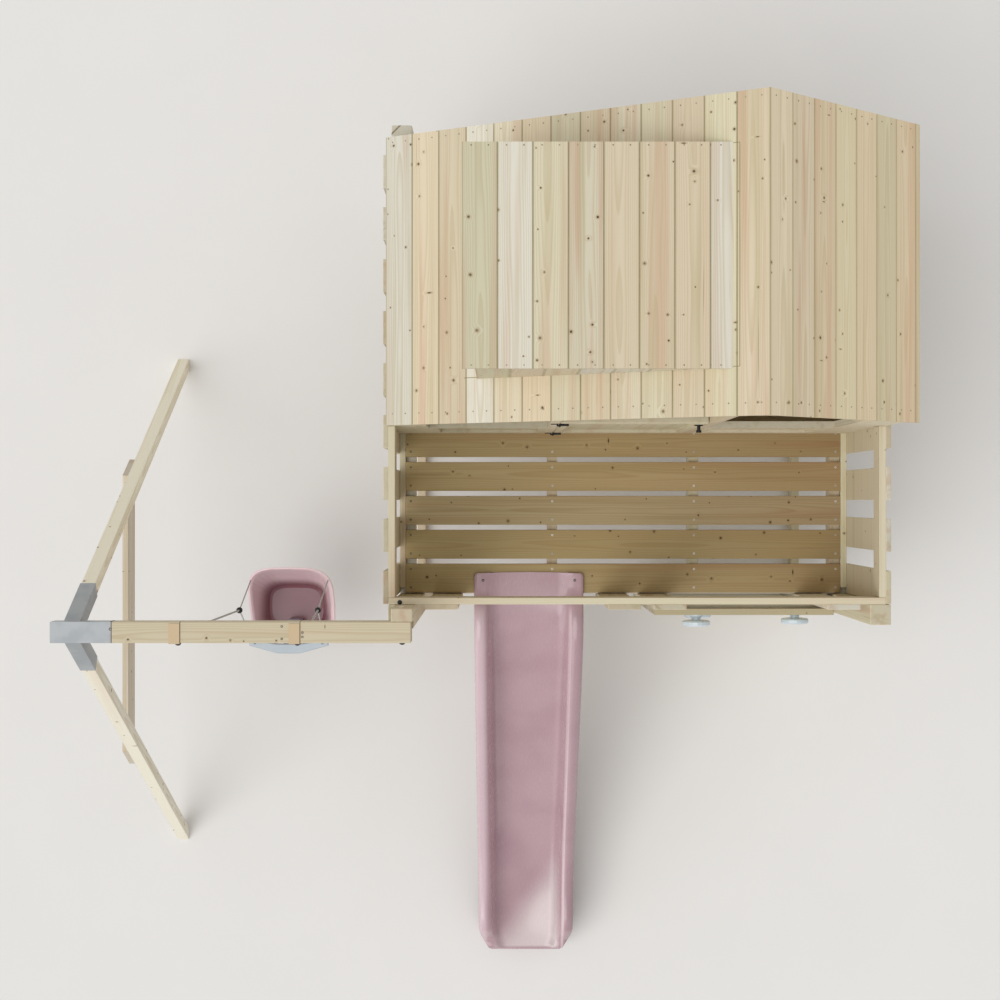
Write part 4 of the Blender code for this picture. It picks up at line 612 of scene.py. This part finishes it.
def joined(pieces, name):
    clearAll()
    for piece in pieces:
        piece.select_set(True)
    bpy.context.view_layer.objects.active = pieces[0]
    bpy.ops.object.join()
    bpy.context.object.name = name
    return bpy.context.object


def pickFaces(obj, test):
    # goes into edit mode with only those faces selected whose normal passes
    bpy.ops.object.mode_set(mode="EDIT")
    bpy.ops.mesh.select_mode(type="FACE")
    bpy.ops.mesh.select_all(action="DESELECT")
    sheet = bmesh.from_edit_mesh(obj.data)
    for face in sheet.faces:
        face.select = test(face.normal)
    sheet.select_flush_mode()
    bmesh.update_edit_mesh(obj.data)


# fixings, each modelled once as by hand and copied to where it belongs. A head's steps are insets of its
# top: a step's width is a share of the radius, and its rise a share of what stands proud
screwShape = {"sides": 16, "steps": ((0.16, 0.25), (0.34, 0.0), (0.12, -1.6))}    # rim, face and recess
domeShape = {"sides": 20, "steps": ((0.30, 0.50),)}
fixingLook = {
    "screw": {"radius": 0.0050, "proud": 0.0006, "steel": "zinc", **screwShape},
    "dullScrew": {"radius": 0.0050, "proud": 0.0006, "steel": "dull", **screwShape},
    "flangeScrew": {"radius": 0.0062, "proud": 0.0012, "steel": "dull", **screwShape},
    "nail": {"radius": 0.0028, "proud": 0.0005, "steel": "nail", **domeShape},
    "cap": {"radius": 0.0095, "proud": 0.0030, "steel": "black", **domeShape},
    # hexagon head on a washer, which is this much wider than the head
    "bolt": {"radius": 0.0085, "proud": 0.0060, "steel": "zinc", "sides": 6, "steps": ((0.16, 0.12),),
             "washer": {"wider": 1.45, "thick": 0.0024, "sunk": 0.0008, "sides": 24}},
}
slotTurn = 1.7    # radians from one screw's turn to the next, so that no two look alike
headAngle = math.radians(35)    # edges sharper than this stay sharp


def fixing(name):
    # a flat cylinder whose top is shaped step by step, on its washer if it has one
    look = fixingLook[name]
    radius, proud = look["radius"], look["proud"]
    clearAll()
    washer, depth, lift = None, proud * 2, 0.0
    if "washer" in look:
        thick, sunk = look["washer"]["thick"], look["washer"]["sunk"]
        bpy.ops.mesh.primitive_cylinder_add(vertices=look["washer"]["sides"], depth=thick,
                                            radius=radius * look["washer"]["wider"],
                                            location=(0, 0, thick / 2 - sunk))
        washer = bpy.context.object
        depth, lift = proud, thick - sunk + proud / 2
    bpy.ops.mesh.primitive_cylinder_add(vertices=look["sides"], radius=radius, depth=depth,
                                        location=(0, 0, lift))
    head = bpy.context.object
    pickFaces(head, lambda normal: normal.z > 0.9)
    for width, rise in look["steps"]:
        bpy.ops.mesh.inset(thickness=radius * width, depth=proud * rise)
    bpy.ops.object.mode_set(mode="OBJECT")
    head = joined([head, washer] if washer else [head], name)
    head.data.materials.append(steel[look["steel"]])
    return head


def scatter(pattern, name, places, body="tower"):
    # copies of a fixing at (place, outward direction), joined to one piece
    copies = []
    for index, (spot, outward) in enumerate(places):
        copy = pattern.copy()
        copy.data = pattern.data.copy()
        scene.collection.objects.link(copy)
        turn = Vector(outward).to_track_quat("Z", "Y").to_matrix().to_4x4()
        spin = Matrix.Rotation(index * slotTurn, 4, "Z")
        copy.data.transform(Matrix.Translation(spot) @ turn @ spin)
        copy.matrix_world = Matrix.Identity(4)
        copies.append(copy)
    piece = joined(copies, name)
    bpy.ops.object.shade_smooth_by_angle(angle=headAngle)
    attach(piece, body)
    return piece


fixings = {name: fixing(name) for name in fixingLook}

# where the fixings sit: distances from an edge or a middle line, or heights above the ground
fixingAt = {
    "deckEdge": 0.024, "slatEdge": 0.035, "railRows": (1.945, 1.145), "frontRows": (1.945, 1.120),
    "houseRows": (1.655, 1.235), "climbEdge": 0.022, "climbRows": (0.035, 0.102),
    "nailFront": 0.0455, "nailBack": 0.024, "nailsApart": 0.031, "dormerEdge": 0.012,
    "lastBoard": {"middle": 0.050, "apart": 0.2},    # the dormer's last board is ripped narrow
    "bracketX": -0.0020, "bracketY": 0.055, "bracketDown": (0.020, 0.064), "sunk": 0.0003,
    "beamDots": ((-0.790, -0.1024), (-0.790, -0.1515), (-0.709, -0.1267), (-0.709, -0.1440)),
    "barSide": 0.162, "barY": -0.294, "capX": 0.047, "capY": 0.0085, "slideSide": 0.208, "slideY": 0.062,
}
spots, shaded = [], []
joistX = [middleX(f"joist_{n}") for n in range(1, 5)]
for n in range(1, 6):
    low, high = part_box(f"deck_board_{n}")
    rows = (low.y + fixingAt["deckEdge"], high.y - fixingAt["deckEdge"])
    spots += [(Vector((x, y, high.z)), toTop) for x in joistX[1:] for y in rows]
    # the first joist's row lies in shade: its screws take dark steel as painted shade
    shaded += [(Vector((joistX[0], y, high.z)), toTop) for y in rows]
scatter(fixings["screw"], "deckScrews", spots)
scatter(fixings["dullScrew"], "deckScrewsInShade", shaded)

spots = []
slatEdges = (fixingAt["slatEdge"], slatWidth - fixingAt["slatEdge"])
for word, outward, end in (("left", -toRight, 0), ("right", toRight, 1)):
    for name, slats, rows in (("railing_", range(4), fixingAt["railRows"]),
                              ("house_wall_", range(4, 9), fixingAt["houseRows"])):
        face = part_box(name + word)[end].x
        for index in slats:
            y = firstSlat + slatPitch * index
            spots += [(Vector((face, y + shift, z)), outward) for z in rows for shift in slatEdges]
rows = fixingAt["frontRows"]
for index in range(1, 5):
    low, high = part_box(f"front_slat_{index}")
    spots += [(Vector((low.x + shift, low.y, z)), -toRear) for z in rows for shift in slatEdges]
for index in range(boardLook["climbingBoards"]):
    for x in (climbLow.x + fixingAt["climbEdge"], climbHigh.x - fixingAt["climbEdge"]):
        spots += [(Vector((x, climbLow.y, index * climbPitch + z)), -toRear) for z in fixingAt["climbRows"]]
scatter(fixings["screw"], "panelScrews", spots)

# nails: two in each board where it crosses a wall
apart = fixingAt["nailsApart"]
spots = []
for name, fall, count in (("roof_left", leftFall, 13), ("roof_right", rightFall, 7)):
    low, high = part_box(name)
    for index in range(count):
        for shift in (-apart, apart):
            place = spec[name]["origin"] + fall * (cover * (index + 0.5) + shift)
            for y in (low.y + fixingAt["nailFront"], high.y - fixingAt["nailBack"]):
                spots.append((Vector((place.x, y, place.z)), spec[name]["face"]))
boards = [(dormerLow.x + cover * (index + 0.5), apart) for index in range(7)]
boards.append((dormerHigh.x - fixingAt["lastBoard"]["middle"], apart * fixingAt["lastBoard"]["apart"]))
for middle, right in boards:
    for x in (middle - apart, middle + right):
        rows = (dormerLow.y + fixingAt["dormerEdge"], dormerHigh.y - fixingAt["dormerEdge"])
        spots += [(Vector((x, y, dormerHigh.z)), toTop) for y in rows]
scatter(fixings["nail"], "roofNails", spots)

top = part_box("swing_beam")[1].z
x, sunk = beamStart + fixingAt["bracketX"], fixingAt["sunk"]
spots = [(Vector((x, beamFront + fixingAt["bracketY"], top - sunk)), toTop)]
for down in fixingAt["bracketDown"]:
    spots += [(Vector((x, beamFront + sunk, top - down)), -toRear),
              (Vector((x, beamFront + beamLook["depth"] - sunk, top - down)), toRear)]
scatter(fixings["flangeScrew"], "bracketScrews", spots)
scatter(fixings["dullScrew"], "beamScrews", [(Vector((x, y, top)), toTop) for x, y in fixingAt["beamDots"]])

# these sit on a curved face, found by looking down on it
seatX = middleX("swing_seat")
spots = []
for side in (-1, 1):
    above = Vector((seatX + side * fixingAt["barSide"], fixingAt["barY"], 1.0))
    spots.append((nodes["seat_bar"].ray_cast(above, -toTop)[1], toTop))
scatter(fixings["dullScrew"], "barScrews", spots, "front_bar")

low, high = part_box("rail_front")
capPlace = Vector((low.x + fixingAt["capX"], low.y + fixingAt["capY"], high.z))
scatter(fixings["cap"], "railCap", [(capPlace, toTop)])

spots = []
for n in (1, 2, 3):
    low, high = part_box(f"climbing_hold_{n}")
    spots.append((Vector(((low.x + high.x) / 2, low.y, (low.z + high.z) / 2)), -toRear))
scatter(fixings["bolt"], "holdBolts", spots)

spots = []
for side in (-1, 1):
    above = Vector((slideMiddle + side * fixingAt["slideSide"], corner.y + fixingAt["slideY"], 2.0))
    spots.append((slideShell.ray_cast(above, -toTop)[1], toTop))
scatter(fixings["flangeScrew"], "slideScrews", spots)
for pattern in fixings.values():
    bpy.data.objects.remove(pattern)
print("fixings set")


# ropes: three strands laid round each other, with a moulded black ball where they part. Grey polypropylene
# has a dry sheen on its fuzz, dark furrows between the strands and dirt in patches
ropeLook = {
    "colour": "#BDB9B2", "groove": "#77736D", "dirt": "#8F897E",
    "fuzz": 900.0, "fuzzEdge": {1: 0.35, 2: 0.70, 4: 0.60}, "patches": 22.0,    # by the metre
    "dirtEdge": {1: 0.45, 2: 0.75, 4: 0.25}, "bump": 0.5, "bumpDepth": 0.0004, "roughness": 0.82,
    "sheen": 0.2,
    "lay": 0.030, "lobes": 0.14, "step": 0.005,    # one turn in 30 mm, a twist drawn every 5 mm
    "mainRadius": 0.0045, "strandRadius": 0.0034,
    # points of the right side, from the seat's middle line: ball, bend at the bar, rear and front corner
    "ballAt": (0.18, -0.1113, 1.14), "bend": (0.1688, -0.3129, 0.7032),
    "rear": (0.186, 0.0070, 0.7390), "front": (0.158, -0.2674, 0.5699),
}
ballLook = {"radius": 0.0145, "seam": 0.0006, "collar": 0.0025}


def ropeMaterial(look):
    made, tree, shader = newMaterial("laidPolypropyleneRope")
    where = addNode(tree, "TexCoord", out="Object")
    fuzz = addNode(tree, "TexNoise", {"Vector": where, "Scale": look["fuzz"], "Detail": 3.0})
    dirt = addNode(tree, "TexNoise", {"Vector": where, "Scale": look["patches"], "Detail": 3.0})
    share = addNode(tree, "MapRange", {0: fuzz, **look["fuzzEdge"]}, **softEdge)
    colour = addNode(tree, "Mix", {0: share, 6: sRgb(look["colour"]), 7: sRgb(look["groove"])}, **rgbMix)
    share = addNode(tree, "MapRange", {0: dirt, **look["dirtEdge"]}, **softEdge)
    colour = addNode(tree, "Mix", {0: share, 6: colour, 7: sRgb(look["dirt"])}, **rgbMix)
    bump = addNode(tree, "Bump", {"Height": fuzz, "Strength": look["bump"], "Distance": look["bumpDepth"]})
    setSockets(tree, shader, {"Base Color": colour, "Normal": bump, "Roughness": look["roughness"],
                              "Sheen Weight": look["sheen"]})
    return made


ropeFibre = ropeMaterial(ropeLook)


def laidRope(name, points, radius):
    # a three-lobed profile swept along the points and twisted, turned into a mesh
    clearAll()
    bpy.ops.curve.primitive_bezier_circle_add(radius=1.0)
    profile = bpy.context.object
    bpy.ops.object.mode_set(mode="EDIT")
    bpy.ops.curve.select_all(action="SELECT")
    bpy.ops.curve.subdivide(number_cuts=2)
    bpy.ops.object.mode_set(mode="OBJECT")
    for point in profile.data.splines[0].bezier_points:
        angle = math.atan2(point.co.y, point.co.x)
        lobe = radius * (1 - ropeLook["lobes"] + ropeLook["lobes"] * math.cos(3 * angle))
        point.co = (lobe * math.cos(angle), lobe * math.sin(angle), 0)
        point.handle_left_type = point.handle_right_type = "AUTO"
    profile.data.resolution_u = 2
    steps = []
    for here, there in zip(points, points[1:]):
        count = max(2, int((there - here).length / ropeLook["step"]))
        steps += [here.lerp(there, step / count) for step in range(count)]
    steps.append(points[-1])
    path = bpy.data.curves.new(name, "CURVE")
    path.dimensions = "3D"
    path.use_fill_caps = True
    line = path.splines.new("POLY")
    line.points.add(len(steps) - 1)
    gone = 0.0
    for index, place in enumerate(steps):
        gone += (place - steps[max(0, index - 1)]).length
        line.points[index].co = (*place, 1.0)
        line.points[index].tilt = 2 * math.pi * gone / ropeLook["lay"]
    path.bevel_mode = "OBJECT"
    path.bevel_object = profile
    rope = bpy.data.objects.new(name, path)
    scene.collection.objects.link(rope)
    clearAll()
    rope.select_set(True)
    bpy.context.view_layer.objects.active = rope
    bpy.ops.object.convert(target="MESH")
    rope = bpy.context.object
    bpy.data.objects.remove(profile)
    bpy.ops.object.mode_set(mode="EDIT")
    bpy.ops.mesh.select_all(action="SELECT")
    bpy.ops.mesh.normals_make_consistent(inside=False)
    bpy.ops.object.mode_set(mode="OBJECT")
    bpy.ops.object.shade_smooth_by_angle(angle=math.radians(70))
    rope.data.materials.clear()
    rope.data.materials.append(ropeFibre)
    return rope


def ropeBall(name, centre):
    # moulded ball with a seam round its middle and a short collar on top
    clearAll()
    bpy.ops.mesh.primitive_uv_sphere_add(segments=24, ring_count=16, radius=ballLook["radius"],
                                         location=centre)
    ball = bpy.context.object
    pickFaces(ball, lambda normal: abs(normal.z) < 0.2)
    bpy.ops.mesh.inset(thickness=ballLook["seam"], depth=-ballLook["seam"])
    bpy.ops.object.mode_set(mode="OBJECT")
    pickFaces(ball, lambda normal: normal.z > 0.93)
    bpy.ops.mesh.extrude_region_move(TRANSFORM_OT_translate={"value": (0, 0, ballLook["collar"])})
    bpy.ops.object.mode_set(mode="OBJECT")
    bpy.ops.object.transform_apply(location=True, rotation=True, scale=True)
    bpy.ops.object.shade_smooth_by_angle(angle=math.radians(40))
    ball.name = name
    ball.data.materials.append(steel["black"])
    return ball


for side, word in ((-1, "left"), (1, "right")):
    beamMiddle = beamFront + beamLook["depth"] / 2
    hung = Vector((middleX(f"hook_{word}"), beamMiddle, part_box(f"rope_{word}")[1].z))
    ball, bend, rear, front = [Vector((seatX + side * x, y, z)) for x, y, z in
                               (ropeLook[key] for key in ("ballAt", "bend", "rear", "front"))]
    strands = [laidRope("main", (hung, ball), ropeLook["mainRadius"]),
               laidRope("rear", (ball, rear), ropeLook["strandRadius"]),
               laidRope("front", (ball, bend, front), ropeLook["strandRadius"])]
    rope = joined(strands, f"laidRope_{word}")
    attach(rope, "swing")
    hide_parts(f"rope_{word}")
    black = ropeBall(f"ropeBall_{word}", ball)
    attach(black, "swing")
print("ropes laid")


# floor, light and camera; each lamp has its strength, the angle it fills and the way it shines
stageLook = {
    "floor": "#E9E7E4", "second": "#E5E3E0", "floorSize": 80, "clouds": 2.0, "floorRoughness": 0.9,
    "light": "#FFFFFF", "sky": 0.57, "shine": 0.50, "background": "#F0EEEC", "shown": 0.9,
    "lamps": (("softSun", 1.22, 46.0, (0.45, 0.25, -1.0)), ("lowFill", 0.55, 50.0, (0.80, 0.62, -0.42))),
    "lampsAt": (-3, -2, 6),
}


def floorAndLight(look):
    clearAll()
    bpy.ops.mesh.primitive_plane_add(size=look["floorSize"], location=(0, 0, 0))
    floor = bpy.context.object
    floor.name = "studioFloor"
    # matt studio paper: no gloss, hardly a cloud in it
    made, tree, shader = newMaterial("paleStudioPaper")
    where = addNode(tree, "TexCoord", out="Object")
    cloud = addNode(tree, "TexNoise", {"Vector": where, "Scale": look["clouds"], "Detail": 4.0})
    colour = addNode(tree, "Mix", {0: cloud, 6: sRgb(look["floor"]), 7: sRgb(look["second"])}, **rgbMix)
    setSockets(tree, shader, {"Base Color": colour, "Roughness": look["floorRoughness"]})
    floor.data.materials.append(made)
    world = bpy.data.worlds.new("softStudio")
    scene.world = world
    world.use_nodes = True
    tree = world.node_tree
    tree.nodes.clear()
    ray = addNode(tree, "LightPath", out=None).outputs
    lit = addNode(tree, "Background", {"Color": sRgb(look["light"]), "Strength": look["sky"]})
    shine = addNode(tree, "Background", {"Color": sRgb(look["light"]), "Strength": look["shine"]})
    shown = addNode(tree, "Background", {"Color": sRgb(look["background"]), "Strength": look["shown"]})
    mixed = addNode(tree, "MixShader", [ray["Is Glossy Ray"], lit, shine])
    mixed = addNode(tree, "MixShader", [ray["Is Camera Ray"], mixed, shown])
    addNode(tree, "OutputWorld", {"Surface": mixed}, out=None)
    for name, energy, size, run in look["lamps"]:
        bpy.ops.object.light_add(type="SUN", location=look["lampsAt"])
        lamp = bpy.context.object
        lamp.name = name
        lamp.data.energy = energy
        lamp.data.angle = math.radians(size)
        lamp.rotation_euler = Vector(run).to_track_quat("-Z", "Y").to_euler()


floorAndLight(stageLook)

# straight down on the picture's middle; the focal length and the frame are in the photo's pixels
cameraLook = {"place": (0.06775, 0.3943, 9.069), "focal": 1729, "frame": 1000, "sensor": 36.0,
              "farEnd": 200}
bpy.ops.object.camera_add(location=cameraLook["place"], rotation=(0, 0, 0))
camera = bpy.context.object
camera.name = "photoCamera"
camera.data.sensor_width = cameraLook["sensor"]
camera.data.lens = cameraLook["sensor"] * cameraLook["focal"] / cameraLook["frame"]
camera.data.clip_end = cameraLook["farEnd"]
scene.camera = camera
scene.view_settings.view_transform = "Standard"
print("floor, light and camera set")
